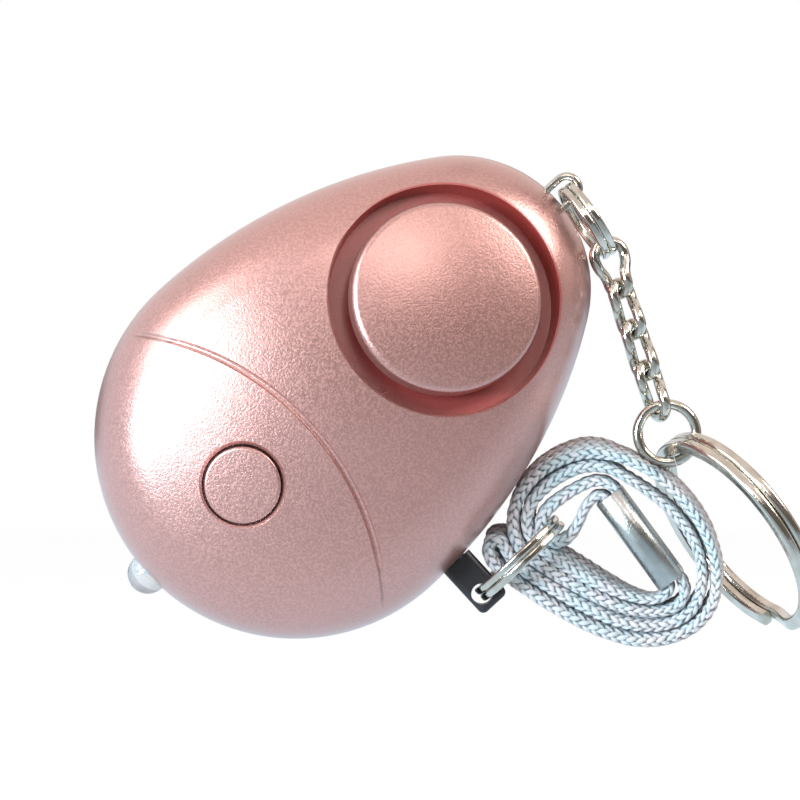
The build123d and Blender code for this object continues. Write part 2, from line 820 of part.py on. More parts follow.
def make_split_ring(mean_radius, axial, radial, edge_round):
    """Two flat coils side by side about Z, joined by a short crossing."""
    half_rise = (axial + coil_gap) / 2
    flat_turn = 360 - coil_jog

    def section(turn, height):
        angle = math.radians(turn)
        out = Vector(math.cos(angle), math.sin(angle), 0)
        middle = out * mean_radius + Vector(0, 0, height)
        plane = Plane(origin=middle, x_dir=out, z_dir=Vector(0, 0, 1).cross(out))
        return plane * RectangleRounded(radial, axial, edge_round)

    ring = revolve(section(0, -half_rise), Axis.Z, flat_turn)
    ring += revolve(section(0, half_rise), Axis.Z, flat_turn)
    sections = []
    for index in range(jog_sections):
        step = index / (jog_sections - 1)
        ease = step * step * (3 - 2 * step)
        sections.append(section(flat_turn + step * coil_jog, half_rise * (2 * ease - 1)))
    return ring + loft(sections)


def make_link(length, top_turn, bottom_turn, top_radius, bottom_radius):
    """A closed wire link along Z, centred on its length, its two bows turned apart."""
    top_z = length / 2 - chain_wire / 2 - top_radius
    bottom_z = -length / 2 + chain_wire / 2 + bottom_radius
    up, down = Vector(0, 0, 1), Vector(0, 0, -1)

    def bow(turn, radius, height, outward):
        angle = math.radians(turn)
        out = Vector(math.cos(angle), math.sin(angle), 0) * radius
        level = Vector(0, 0, height)
        return level + out, level + outward * radius, level - out

    def strand(start, end):
        across = Vector(end.X - start.X, end.Y - start.Y, 0)
        height = start.Z - end.Z
        turn = 2 * math.atan(across.length / height)
        radius = height / (2 * math.sin(turn))
        side = across.normalized()

        def along(origin, angle, way):
            sideways = side * (radius * (1 - math.cos(angle)))
            return origin + way * (sideways + down * (radius * math.sin(angle)))

        middle = along(start, turn, 1)
        return [
            ThreePointArc(start, along(start, turn / 2, 1), middle),
            ThreePointArc(middle, along(end, turn / 2, -1), end),
        ]

    top = bow(top_turn, top_radius, top_z, up)
    bottom = bow(bottom_turn, bottom_radius, bottom_z, down)
    right, left = strand(top[0], bottom[0]), strand(top[2], bottom[2])
    top_half = Wire([ThreePointArc(*top).edge()])
    bottom_half = Wire([ThreePointArc(*bottom).edge()])
    pieces = []
    right_side, left_side = Wire([arc.edge() for arc in right]), Wire([arc.edge() for arc in left])
    for path in (top_half, bottom_half, right_side, left_side):
        start = Plane(origin=path @ 0, z_dir=path % 0)
        pieces.append(sweep(start * Circle(chain_wire / 2), path=path))
    link = pieces[0]
    for piece in pieces[1:]:
        link += piece
    return link


# Places of the rings and the chain, in the upright frame
def upright(slant):
    """Unit vector that many degrees to the right of straight down."""
    return Vector(math.sin(math.radians(slant)), 0, -math.cos(math.radians(slant)))


def ring_place(centre, down, tilt):
    """Place for a ring whose plane holds down and leans from edge on by tilt."""
    right = Vector(-down.Z, 0, down.X)
    angle = math.radians(tilt)
    near = Vector(0, -1, 0) * math.cos(angle) + right * math.sin(angle)
    return Plane(origin=centre, x_dir=down, z_dir=down.cross(near)).location


loop_middle_x = tip_x + (staple_reach - staple_wire) / 2 + small_ring_wire / 4
staple_hole = body_place * Location((loop_middle_x, 0, parting_height))
eye_top = staple_hole.position
eye_down = upright(small_ring_slant)
eye_centre = eye_top + eye_down * small_ring_radius
eye_bottom = eye_top + eye_down * (2 * small_ring_radius)

chain_down = upright(chain_slant)
chain_right = Vector(-chain_down.Z, 0, chain_down.X)
link_length = chain_pitch + 2 * chain_wire + chain_gap
first_link_top = eye_bottom - chain_down * (small_ring_wire / 2 + first_link_gap + chain_wire / 2)
link_step = link_length - 2 * chain_wire - chain_gap
link_centres = [
    first_link_top + chain_down * ((link_length - chain_wire) / 2 + index * link_step)
    for index in range(link_count)
]
chain_end = link_centres[-1] + chain_down * ((link_length - chain_wire) / 2)
jump_top = chain_end - chain_down * ((chain_wire + jump_ring_wire) / 2 + chain_gap)
jump_centre = jump_top + chain_down * jump_ring_radius

key_down = upright(key_ring_slant)
key_ring_mean = key_ring_outer_radius - key_ring_radial / 2
key_top = jump_centre + key_down * (
    jump_ring_radius - jump_ring_wire / 2 - key_ring_radial / 2 - key_ring_gap
)
key_centre = key_top + key_down * key_ring_mean

pin_hole_y = pin_flank - pin_head_gap - pin_head_length + pin_hole_edge + pin_hole_radius
pin_hole = (body_place * Location((pin_x - pin_hole_offset, pin_hole_y, parting_height))).position
pin_ring_up = Vector(math.sin(math.radians(pin_ring_slant)), 0, math.cos(math.radians(pin_ring_slant)))
pin_ring_centre = pin_hole + pin_ring_up * pin_ring_radius
pin_ring_top = pin_hole + pin_ring_up * (2 * pin_ring_radius)


def make_chain():
    """The chain's links: the first takes the small ring's two coils in a wider bow."""
    place_turn = Plane(origin=(0, 0, 0), x_dir=chain_right, z_dir=chain_down * -1)
    links = []
    for index, centre in enumerate(link_centres):
        first, last = index == 0, index == link_count - 1
        top_turn = 0 if first else chain_twist
        bottom_turn = -chain_last_twist if last else -chain_twist
        top_radius = chain_first_bow_radius if first else chain_bow_radius
        bottom_radius = chain_last_bow_radius if last else chain_bow_radius
        link = make_link(link_length, top_turn, bottom_turn, top_radius, bottom_radius)
        links.append(Pos(*centre) * place_turn.location * link)
    return links


def make_jump_ring():
    """Plain ring with a cut, face on, between the chain and the key ring."""
    section = Plane.XZ * Pos(jump_ring_radius, 0) * Circle(jump_ring_wire / 2)
    cut = math.degrees(jump_ring_cut / jump_ring_radius)
    ring = revolve(section, Axis.Z, 360 - cut)
    return Pos(*jump_centre) * Plane(origin=(0, 0, 0), x_dir=chain_down, z_dir=(0, -1, 0)).location * ring


# Strap: the two strands part by strand_gap where they leave the crimp
ferrule_down = upright(ferrule_slant)
ferrule_right = Vector(-ferrule_down.Z, 0, ferrule_down.X)
strap_origin = pin_ring_top + Vector(crimp_right, 0, -crimp_below)
strand_pitch = strap_thickness + strand_gap
core_width = strap_width + 2 * core_margin
core_thickness = 2 * strap_thickness + strand_gap + 2 * core_margin


def route_plane():
    """Upright plane through the strap's middle, its origin at the crimp's middle."""
    return Plane(origin=strap_origin, x_dir=(1, 0, 0), z_dir=(0, -1, 0))


def mouth(end, side):
    """Two places on one strand: inside the crimp's core and just out of it."""
    along = ferrule_down * end
    across = ferrule_right * (side * strand_pitch / 2)
    half = ferrule_length / 2
    places = [along * reach + across for reach in (half - strap_seat, half + mouth_reach)]
    return [(place.X, place.Z) for place in places]


def crimp_end():
    """Plane across the strap at the crimp's upper end."""
    upper = strap_origin - ferrule_down * (ferrule_length / 2)
    return Plane(origin=upper, x_dir=(0, 1, 0), z_dir=ferrule_down)


def make_strap():
    """Flat strap in one piece: crimped core, small loop and rolled wrist loop."""
    plane = route_plane()
    loop = mouth(-1, 1) + loop_route + mouth(-1, -1)[::-1]
    roll = mouth(1, 1) + roll_route + mouth(1, -1)[::-1]
    strap = None
    stretches = []
    for points in (loop, roll):
        radii = corner_radii(points)
        stretch, path = band(plane, points, radii, strap_thickness, strap_width)
        print("strap radii:", [round(radius, 1) for radius in radii])
        print("strap length:", round(path.length, 1), "volume", round(stretch.volume, 1))
        stretches.append(path)
        strap = stretch if strap is None else strap + stretch
    core_section = RectangleRounded(core_width, core_thickness, core_thickness * crimp_round_share)
    core = extrude(crimp_end() * core_section, amount=ferrule_length)
    return strap + core, stretches


def make_ferrule():
    """Crimped metal sleeve round the strap's core."""
    inner_width, inner_thickness = core_width + 2 * ferrule_gap, core_thickness + 2 * ferrule_gap
    inner_round = core_thickness * crimp_round_share + ferrule_gap
    outer = RectangleRounded(
        inner_width + 2 * ferrule_wall, inner_thickness + 2 * ferrule_wall, inner_round + ferrule_wall / 2
    )
    sleeve = outer - RectangleRounded(inner_width, inner_thickness, inner_round)
    return extrude(crimp_end() * sleeve, amount=ferrule_length)


def least_self_gap(paths, thickness):
    """Least gap between stretches of the strap that don't follow each other."""
    step = thickness / 2
    places = []
    travelled = 0
    for path in paths:
        count = int(path.length / step)
        places += [(travelled + path.length * i / count, path @ (i / count)) for i in range(count + 1)]
        travelled += path.length + ferrule_length
    least = None
    apart = 4 * thickness
    total = travelled
    for index, (here, place) in enumerate(places):
        for there, other in places[index + 1:]:
            along = min(there - here, total - (there - here))
            if along > apart:
                gap = (other - place).length - thickness
                if least is None or gap < least[0]:
                    least = (gap, place, other)
    return least


def build_nodes():
    """Every piece of the alarm by name, in the upright frame."""
    outer, inner = pebble(0), pebble(wall)
    switch, plunger = make_switch()
    lamp, leads = make_led()
    plus, minus = make_cell_contacts()
    fixed_strip, spring_leaf = make_pin_contacts()
    inside = {
        "front_shell": make_front_shell(outer, inner),
        "rear_shell": make_rear_shell(outer, inner),
        "speaker_cover": make_speaker_cover(),
        "siren_wires": make_siren_wires(),
        "light_button": make_button(),
        "tact_switch": switch,
        "switch_plunger": plunger,
        "led_lamp": lamp,
        "led_leads": leads,
        "circuit_board": make_board(),
        "board_screws": make_board_screws(),
        "driver_chip": make_chip(),
        "step_up_coil": make_coil(),
        "transistor": make_transistor(),
        "capacitor": make_capacitor(),
        "button_cells": make_cells(),
        "battery_tray": make_tray(),
        "battery_contact_plus": plus,
        "battery_contact_minus": minus,
        "case_screws": make_case_screws(),
        "pull_pin": make_pull_pin(),
        "pin_bush": make_bush(),
        "pin_contact_fixed": fixed_strip,
        "pin_contact_leaf": spring_leaf,
        "chain_staple": make_staple(),
    }
    inside.update(make_siren())
    nodes = {}
    for name, piece in inside.items():
        pieces = piece if isinstance(piece, list) else [piece]
        nodes[name] = [body_place * solid for solid in pieces]

    small_round = small_ring_wire * ring_round_share
    small_ring = make_split_ring(small_ring_radius, small_ring_wire, small_ring_wire, small_round)
    nodes["eye_split_ring"] = [ring_place(eye_centre, eye_down, small_ring_turn) * small_ring]
    for index, link in enumerate(make_chain()):
        nodes[f"chain_link_{index + 1}"] = [link]
    nodes["jump_ring"] = [make_jump_ring()]
    key_ring = make_split_ring(key_ring_mean, key_ring_axial, key_ring_radial, key_ring_round)
    nodes["key_ring"] = [ring_place(key_centre, key_down, 90 - key_ring_tilt) * key_ring]
    pin_ring_round = pin_ring_wire * ring_round_share
    pin_ring = make_split_ring(pin_ring_radius, pin_ring_wire, pin_ring_wire, pin_ring_round)
    nodes["pin_split_ring"] = [ring_place(pin_ring_centre, pin_ring_up * -1, 0) * pin_ring]
    strap, stretches = make_strap()
    nodes["wrist_strap"] = [strap]
    nodes["strap_ferrule"] = [make_ferrule()]
    gap, place, other = least_self_gap(stretches, strap_thickness)
    print("strap's least gap to itself:", round(gap, 2), "between", place, "and", other)
    return nodes


def export_nodes(nodes):
    """Write one STEP file for each named piece."""
    os.makedirs("parts", exist_ok=True)
    for name, pieces in nodes.items():
        solids = [solid for piece in pieces for solid in piece.solids()]
        shape = solids[0] if len(solids) == 1 else Compound(children=solids)
        export_step(shape, os.path.join("parts", f"{name}.step"))


export_nodes(build_nodes())
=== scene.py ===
import logging
import math
from dataclasses import dataclass, field
from enum import Enum
from itertools import product

import bmesh
import bpy
import numpy as np
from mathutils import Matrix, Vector
from mathutils.bvhtree import BVHTree

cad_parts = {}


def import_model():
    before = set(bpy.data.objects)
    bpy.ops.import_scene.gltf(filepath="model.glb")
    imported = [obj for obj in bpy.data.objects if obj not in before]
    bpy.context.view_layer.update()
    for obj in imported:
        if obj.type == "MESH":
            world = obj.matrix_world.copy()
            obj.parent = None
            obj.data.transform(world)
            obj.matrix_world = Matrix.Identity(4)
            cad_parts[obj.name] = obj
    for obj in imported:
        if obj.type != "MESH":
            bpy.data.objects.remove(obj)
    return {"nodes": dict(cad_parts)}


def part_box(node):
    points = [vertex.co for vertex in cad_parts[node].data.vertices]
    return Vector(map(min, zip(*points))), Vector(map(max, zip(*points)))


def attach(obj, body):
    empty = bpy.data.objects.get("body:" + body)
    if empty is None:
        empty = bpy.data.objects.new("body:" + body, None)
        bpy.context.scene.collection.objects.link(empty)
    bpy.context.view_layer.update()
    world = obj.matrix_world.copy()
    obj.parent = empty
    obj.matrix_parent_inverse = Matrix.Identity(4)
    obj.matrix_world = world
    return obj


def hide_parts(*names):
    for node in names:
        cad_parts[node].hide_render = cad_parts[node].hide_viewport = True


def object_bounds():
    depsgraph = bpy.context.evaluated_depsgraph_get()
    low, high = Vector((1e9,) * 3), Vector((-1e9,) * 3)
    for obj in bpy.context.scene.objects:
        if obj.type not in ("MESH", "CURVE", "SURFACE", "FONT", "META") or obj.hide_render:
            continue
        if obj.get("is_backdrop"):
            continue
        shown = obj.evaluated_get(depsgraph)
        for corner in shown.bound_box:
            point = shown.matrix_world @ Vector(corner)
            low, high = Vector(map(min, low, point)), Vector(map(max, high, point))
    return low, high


# Looks of the personal safety alarm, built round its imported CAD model, in metres.
# X runs to the right, Z up, and the alarm's face looks along -Y.

LOG = logging.getLogger("alarm")
MM = 0.001

Colour = tuple[float, float, float]
Place = tuple[float, float, float]
Span = tuple[float, float]
Socket = bpy.types.NodeSocket

WHITE: Colour = (1.0, 1.0, 1.0)

# The strap's route, seen from the front, as places to the right of and above the
# crimp's middle: the small loop that holds the pin's ring, then the wrist roll.
LOOP_ROUTE = [
    (-0.00500, 0.00637), (-0.00688, 0.00566), (-0.00865, 0.00460), (-0.01062, 0.00308),
    (-0.01140, 0.00135), (-0.01078, -0.00005), (-0.00945, -0.00070), (-0.00802, -0.00012),
    (-0.00695, 0.00170), (-0.00632, 0.00350),
]
ROLL_ROUTE = [
    (0.00485, -0.00660), (0.00380, -0.00810), (0.00140, -0.00860), (-0.00195, -0.00815),
    (-0.00525, -0.00685), (-0.00850, -0.00510), (-0.01150, -0.00325), (-0.01385, -0.00135),
    (-0.01455, 0.00120), (-0.01405, 0.00375), (-0.01260, 0.00595), (-0.01060, 0.00760),
    (-0.00820, 0.00875), (-0.00555, 0.00930), (-0.00255, 0.00890), (0.00045, 0.00770),
    (0.00310, 0.00575), (0.00535, 0.00325), (0.00710, 0.00055), (0.00810, -0.00215),
    (0.00840, -0.00520), (0.00785, -0.00810), (0.00575, -0.01050), (0.00265, -0.01175),
    (-0.00075, -0.01190), (-0.00410, -0.01095), (-0.00735, -0.00950), (-0.01050, -0.00770),
    (-0.01360, -0.00560), (-0.01620, -0.00370), (-0.01715, -0.00225), (-0.01710, -0.00075),
    (-0.01555, -0.00055), (-0.01495, -0.00225), (-0.01285, -0.00425), (-0.00960, -0.00620),
    (-0.00635, -0.00800), (-0.00310, -0.00950), (0.00020, -0.01025), (0.00340, -0.00990),
    (0.00585, -0.00830), (0.00685, -0.00530), (0.00655, -0.00220), (0.00545, 0.00030),
    (0.00375, 0.00250), (0.00160, 0.00445), (-0.00090, 0.00620), (-0.00375, 0.00774),
    (-0.00650, 0.00774), (-0.00905, 0.00655), (-0.01125, 0.00495), (-0.01265, 0.00305),
    (-0.01295, 0.00110), (-0.01205, -0.00085), (-0.00975, -0.00265), (-0.00695, -0.00435),
    (-0.00405, -0.00575), (-0.00095, -0.00680), (0.00170, -0.00710),
]


class Slot(Enum):
    """Material slots of the two pieces that are made here."""

    SATIN = "satin_metal"
    BRAID = "braid"


class Graph:
    """Short ways to make and join nodes in one node tree."""

    def __init__(self, tree: bpy.types.NodeTree) -> None:
        """Keep the tree to work on."""
        self.tree = tree

    def node(self, kind: str, **settings: object) -> bpy.types.Node:
        """Add a node.

        Args:
            kind: The node's type, without the ShaderNode prefix.
            settings: Properties to set on it.

        Returns:
            The new node.
        """
        made = self.tree.nodes.new("ShaderNode" + kind)
        for name, value in settings.items():
            setattr(made, name, value)
        return made

    def feed(self, target: Socket, value: Socket | float | tuple) -> None:
        """Join a socket to another, or set its value.

        Args:
            target: The socket to feed.
            value: The socket to join it to, or its value.
        """
        if isinstance(value, bpy.types.NodeSocket):
            self.tree.links.new(value, target)
        else:
            target.default_value = value

    def fill(self, node: bpy.types.Node, values: dict[str, Socket | float | tuple]) -> None:
        """Feed several inputs of a node, by their names."""
        for name, value in values.items():
            self.feed(node.inputs[name], value)

    def math(self, operation: str, first: Socket | float, second: Socket | float = 0.0) -> Socket:
        """A sum, product or other operation on numbers.

        Args:
            operation: The Math node's operation.
            first: First number.
            second: Second number, where the operation has one.

        Returns:
            The result's socket.
        """
        made = self.node("Math", operation=operation)
        self.feed(made.inputs[0], first)
        self.feed(made.inputs[1], second)
        return made.outputs[0]

    def plus_share(self, base: Socket | float, value: Socket, share: float) -> Socket:
        """A number plus a share of another."""
        return self.math("ADD", base, self.math("MULTIPLY", value, share))

    def vector(
        self, operation: str, first: Socket | Place, second: Socket | Place = (0, 0, 0)
    ) -> bpy.types.Node:
        """An operation on vectors.

        Args:
            operation: The Vector Math node's operation.
            first: First vector.
            second: Second vector, where the operation has one.

        Returns:
            The node, because its result is on one of two sockets.
        """
        made = self.node("VectorMath", operation=operation)
        self.feed(made.inputs[0], first)
        self.feed(made.inputs[1], second)
        return made

    def ramp(self, value: Socket, low: float, high: float, start: float = 0.0, end: float = 1.0) -> Socket:
        """A number moved smoothly from one range to another.

        Args:
            value: The number.
            low: Where the change starts.
            high: Where the change ends.
            start: Result at low.
            end: Result at high.

        Returns:
            The result's socket.
        """
        made = self.node("MapRange", interpolation_type="SMOOTHSTEP")
        for socket, item in zip(made.inputs[:5], (value, low, high, start, end)):
            self.feed(socket, item)
        return made.outputs[0]

    def mix(self, share: Socket | float, first: Socket | Colour, second: Socket | Colour) -> Socket:
        """A colour between two colours.

        Args:
            share: 0 for the first colour and 1 for the second.
            first: First colour.
            second: Second colour.

        Returns:
            The result's socket.
        """
        made = self.node("Mix", data_type="RGBA")
        self.feed(made.inputs["Factor"], share)
        for socket, item in zip(made.inputs[6:8], (first, second)):
            self.feed(socket, item if isinstance(item, bpy.types.NodeSocket) else (*item, 1))
        return made.outputs[2]

    def noise(self, where: Socket, size: Socket | float, detail: float = 2.0) -> Socket:
        """Soft noise between 0 and 1.

        Args:
            where: Place to read it at, in metres.
            size: Size of its features, in metres.
            detail: Number of finer layers.

        Returns:
            The noise's socket.
        """
        made = self.node("TexNoise", noise_dimensions="3D")
        scale = 1.0 / size if isinstance(size, float) else self.math("DIVIDE", 1.0, size)
        self.fill(made, {"Vector": where, "Scale": scale, "Detail": detail})
        return made.outputs[0]

    def bump(self, height: Socket, depth: float, under: Socket | None = None) -> Socket:
        """A normal bent by a height.

        Args:
            height: Height between 0 and 1.
            depth: Depth of that height, in metres.
            under: Normal to start from, if any.

        Returns:
            The normal's socket.
        """
        made = self.node("Bump")
        self.fill(made, {"Strength": 1.0, "Distance": depth, "Height": height})
        if under is not None:
            self.feed(made.inputs["Normal"], under)
        return made.outputs[0]

    def here(self) -> Socket:
        """The place on the object, in metres, which moves with the piece."""
        return self.node("TexCoord").outputs["Object"]


class EffectGroup:
    """A shader node group with named inputs and outputs, built once and placed in each material."""

    def __init__(self, name: str, inputs: dict[str, float], outputs: list[str]) -> None:
        """Make the group's sockets.

        Args:
            name: The group's name.
            inputs: Name and usual value of each number that goes in.
            outputs: Name of each number that comes out.
        """
        self.tree = bpy.data.node_groups.new(name, "ShaderNodeTree")
        for socket, usual in inputs.items():
            made = self.tree.interface.new_socket(name=socket, in_out="INPUT", socket_type="NodeSocketFloat")
            made.default_value = usual
        for socket in outputs:
            self.tree.interface.new_socket(name=socket, in_out="OUTPUT", socket_type="NodeSocketFloat")
        self.graph = Graph(self.tree)
        self.taken = self.tree.nodes.new("NodeGroupInput").outputs
        self.given = self.tree.nodes.new("NodeGroupOutput").inputs

    def place(self, graph: Graph, **values: float) -> dict[str, Socket]:
        """Put the group in a material.

        Args:
            graph: The material's nodes.
            values: Values of the group's inputs.

        Returns:
            The group's output sockets by name.
        """
        made = graph.node("Group", node_tree=self.tree)
        for name, value in values.items():
            made.inputs[name.replace("_", " ")].default_value = value
        return {socket.name: socket for socket in made.outputs}


def make_grain_group(
    fine_size: float = 0.4, fine_share: float = 0.3, fleck: Span = (0.38, 0.66), cloud: Span = (0.3, 0.7)
) -> EffectGroup:
    """Fine pebbled grain of sprayed paint or moulded plastic, with soft clouds of tone.

    Args:
        fine_size: Size of the fine layer, against the coarse one.
        fine_share: Share of the fine layer in the height.
        fleck: Coarse heights where a fleck starts and is full.
        cloud: Noise where a cloud starts and is full.

    Returns:
        The group.
    """
    usual = {"size": 0.2 * MM, "cloud size": 9 * MM}
    group = EffectGroup("sprayed_grain", usual, ["height", "fleck", "cloud"])
    graph, taken, given = group.graph, group.taken, group.given
    here = graph.here()
    coarse = graph.noise(here, taken["size"], 1.0)
    fine = graph.noise(here, graph.math("MULTIPLY", taken["size"], fine_size), 1.0)
    most = graph.math("MULTIPLY", coarse, 1 - fine_share)
    graph.feed(given["height"], graph.plus_share(most, fine, fine_share))
    graph.feed(given["fleck"], graph.ramp(coarse, *fleck))
    graph.feed(given["cloud"], graph.ramp(graph.noise(here, taken["cloud size"], 2.0), *cloud))
    return group


def make_handling_group(
    smudge: Span = (0.3, 0.75), scratch: Span = (0.45, 0.75), stretch: Place = (1.0, 0.12, 0.35)
) -> EffectGroup:
    """Smudges and hair scratches on plated metal.

    Args:
        smudge: Noise where a smudge starts and is full.
        scratch: Noise where a scratch starts and is full.
        stretch: How closely scratches lie along each axis.

    Returns:
        The group.
    """
    usual = {"smudge size": 3 * MM, "scratch size": 0.12 * MM}
    group = EffectGroup("handling_marks", usual, ["smudge", "scratch"])
    graph, taken, given = group.graph, group.taken, group.given
    here = graph.here()
    graph.feed(given["smudge"], graph.ramp(graph.noise(here, taken["smudge size"], 3.0), *smudge))
    long_way = graph.vector("MULTIPLY", here, stretch).outputs[0]
    graph.feed(given["scratch"], graph.ramp(graph.noise(long_way, taken["scratch size"], 2.0), *scratch))
    return group


class Finish:
    """A finish that makes its material once and gives it to pieces."""

    def material(self, name: str) -> tuple[bpy.types.Material, Graph, bpy.types.Node]:
        """Start a material with an empty Principled shader.

        Args:
            name: The material's name.

        Returns:
            The material, its nodes, and the shader node.
        """
        made = bpy.data.materials.new(name)
        made.use_nodes = True
        graph = Graph(made.node_tree)
        return made, graph, made.node_tree.nodes["Principled BSDF"]

    def dress(self, *pieces: bpy.types.Object) -> None:
        """Put this finish on every material slot of the pieces.

        Args:
            pieces: The pieces to dress.
        """
        made = self.build()
        for piece in pieces:
            if not piece.material_slots:
                piece.data.materials.append(made)
            for slot in piece.material_slots:
                slot.material = made
            LOG.info("%s: %s", piece.name, made.name)

    def build(self) -> bpy.types.Material:
        """Make the material."""
        raise NotImplementedError


@dataclass(frozen=True)
class Well:
    """A round recess, coloured darker inside as painted shade: its place, the way it faces and its radius.
    """

    centre: tuple[float, float, float]
    axis: tuple[float, float, float]
    radius: float


@dataclass(frozen=True)
class Groove:
    """Ends of the face's curved groove, where the face falls away and the model's groove runs out."""

    centre: tuple[float, float, float]
    turn: float
    radius: float = 31.4 * MM
    half_width: float = 0.42 * MM
    depth: float = 0.30 * MM
    fade_in: Span = (16.0 * MM, 17.4 * MM)
    fade_out: Span = (19.6 * MM, 20.8 * MM)
    front: Span = (0.3 * MM, 0.6 * MM)

    def height(self, graph: Graph) -> Socket:
        """Depth of the face at the groove's ends.

        Args:
            graph: The material's nodes.

        Returns:
            0 at the bottom of the groove and 1 elsewhere.
        """
        arm = graph.vector("SUBTRACT", graph.here(), self.centre).outputs[0]
        flat = graph.vector("MULTIPLY", arm, (1, 0, 1)).outputs[0]
        off = graph.math("SUBTRACT", graph.vector("LENGTH", flat).outputs["Value"], self.radius)
        near = graph.ramp(graph.math("ABSOLUTE", off), 0.0, self.half_width, 1.0, 0.0)
        side = (-math.sin(self.turn), 0, math.cos(self.turn))
        aside = graph.math("ABSOLUTE", graph.vector("DOT_PRODUCT", flat, side).outputs["Value"])
        near = graph.math("MULTIPLY", near, graph.ramp(aside, *self.fade_in))
        near = graph.math("MULTIPLY", near, graph.ramp(aside, *self.fade_out, 1.0, 0.0))
        front = graph.ramp(graph.vector("DOT_PRODUCT", arm, (0, -1, 0)).outputs["Value"], *self.front)
        return graph.math("SUBTRACT", 1.0, graph.math("MULTIPLY", near, front))


@dataclass(frozen=True)
class SatinPaint(Finish):
    """Satin metallic paint with a fine pebbled grain, under a clear coat."""

    name: str
    grain: EffectGroup
    colour: Colour = (0.485, 0.248, 0.226)
    deep: Colour = (0.410, 0.193, 0.168)
    cloud_size: float = 12 * MM
    cloud_share: float = 0.35
    fleck_light: float = 1.22
    fleck_share: float = 0.8
    metallic: float = 0.68
    roughness: float = 0.28
    fleck_roughness: float = 0.08
    refraction: float = 1.75
    coat: float = 0.85
    coat_roughness: float = 0.3
    coat_refraction: float = 1.8
    grain_size: float = 0.27 * MM
    grain_depth: float = 0.046 * MM
    well: Well | None = None
    # Painted shade: a darker colour inside the speaker's recess stands in for the shade that falls there.
    well_shade_colour: Colour = (0.35, 0.048, 0.042)
    well_metallic: float = 0.15
    well_roughness: float = 0.08
    well_edge: float = 0.06 * MM
    groove: Groove | None = None

    def build(self) -> bpy.types.Material:
        """Make the paint, with painted shade inside the recess and bent at the groove, where it has them.

        Returns:
            The material.
        """
        made, graph, shader = self.material(self.name)
        effect = self.grain.place(graph, size=self.grain_size, cloud_size=self.cloud_size)
        tone = graph.mix(graph.math("MULTIPLY", effect["cloud"], self.cloud_share), self.colour, self.deep)
        light = tuple(min(1.0, part * self.fleck_light) for part in self.colour)
        tone = graph.mix(graph.math("MULTIPLY", effect["fleck"], self.fleck_share), tone, light)
        rough = graph.plus_share(self.roughness, effect["fleck"], self.fleck_roughness)
        bent = graph.bump(effect["height"], self.grain_depth)
        metallic: Socket | float = self.metallic
        if self.well is not None:
            # Painted shade: the recess is coloured darker where shade falls in it.
            well_shade = self.painted_well_shade(graph)
            tone = graph.mix(well_shade, tone, self.well_shade_colour)
            rough = graph.plus_share(rough, well_shade, self.well_roughness)
            metallic = graph.ramp(well_shade, 0.0, 1.0, self.metallic, self.well_metallic)
        if self.groove is not None:
            bent = graph.bump(self.groove.height(graph), self.groove.depth, under=bent)
        graph.fill(shader, {
            "Base Color": tone, "Metallic": metallic, "Roughness": rough, "Normal": bent,
            "IOR": self.refraction, "Coat Weight": self.coat, "Coat Roughness": self.coat_roughness,
            "Coat IOR": self.coat_refraction,
        })
        return made

    def painted_well_shade(self, graph: Graph) -> Socket:
        """Mask of the painted shade in the recess, by the distance from its axis.

        Args:
            graph: The material's nodes.

        Returns:
            1 inside the recess and 0 outside.
        """
        arm = graph.vector("SUBTRACT", graph.here(), self.well.centre).outputs[0]
        across = graph.vector("CROSS_PRODUCT", arm, self.well.axis).outputs[0]
        distance = graph.vector("LENGTH", across).outputs["Value"]
        return graph.ramp(distance, self.well.radius - self.well_edge, self.well.radius, 1.0, 0.0)


@dataclass(frozen=True)
class PlatedMetal(Finish):
    """Plated metal with faint smudges and hair scratches."""

    name: str
    marks: EffectGroup
    colour: Colour = (0.70, 0.675, 0.62)
    worn: Colour = (0.54, 0.51, 0.44)
    roughness: float = 0.09
    spread: float = 0.14
    scratch_depth: float = 0.004 * MM
    smudge_size: float = 2.5 * MM

    def build(self) -> bpy.types.Material:
        """Make the metal.

        Returns:
            The material.
        """
        made, graph, shader = self.material(self.name)
        effect = self.marks.place(graph, smudge_size=self.smudge_size)
        graph.fill(shader, {
            "Base Color": graph.mix(effect["smudge"], self.colour, self.worn),
            "Roughness": graph.plus_share(self.roughness, effect["smudge"], self.spread),
            "Normal": graph.bump(effect["scratch"], self.scratch_depth),
            "Metallic": 1.0,
        })
        return made


@dataclass(frozen=True)
class MouldedPlastic(Finish):
    """Moulded or cast stuff with a fine grain: plastic, foam, ceramic or solder mask."""

    name: str
    grain: EffectGroup
    colour: Colour
    roughness: float = 0.5
    grain_size: float = 0.15 * MM
    grain_depth: float = 0.012 * MM
    tone_spread: float = 0.3
    tone_lift: float = 0.004
    cloud_size: float = 4 * MM
    even_dip: float = 0.05
    fleck_roughness: float = 0.12

    def build(self) -> bpy.types.Material:
        """Make the stuff.

        Returns:
            The material.
        """
        made, graph, shader = self.material(self.name)
        effect = self.grain.place(graph, size=self.grain_size, cloud_size=self.cloud_size)
        light = tuple(min(1.0, part * (1 + self.tone_spread) + self.tone_lift) for part in self.colour)
        graph.fill(shader, {
            "Base Color": graph.mix(effect["cloud"], self.colour, light),
            "Roughness": graph.plus_share(
                self.roughness - self.even_dip, effect["fleck"], self.fleck_roughness
            ),
            "Normal": graph.bump(effect["height"], self.grain_depth),
            "Metallic": 0.0,
        })
        return made


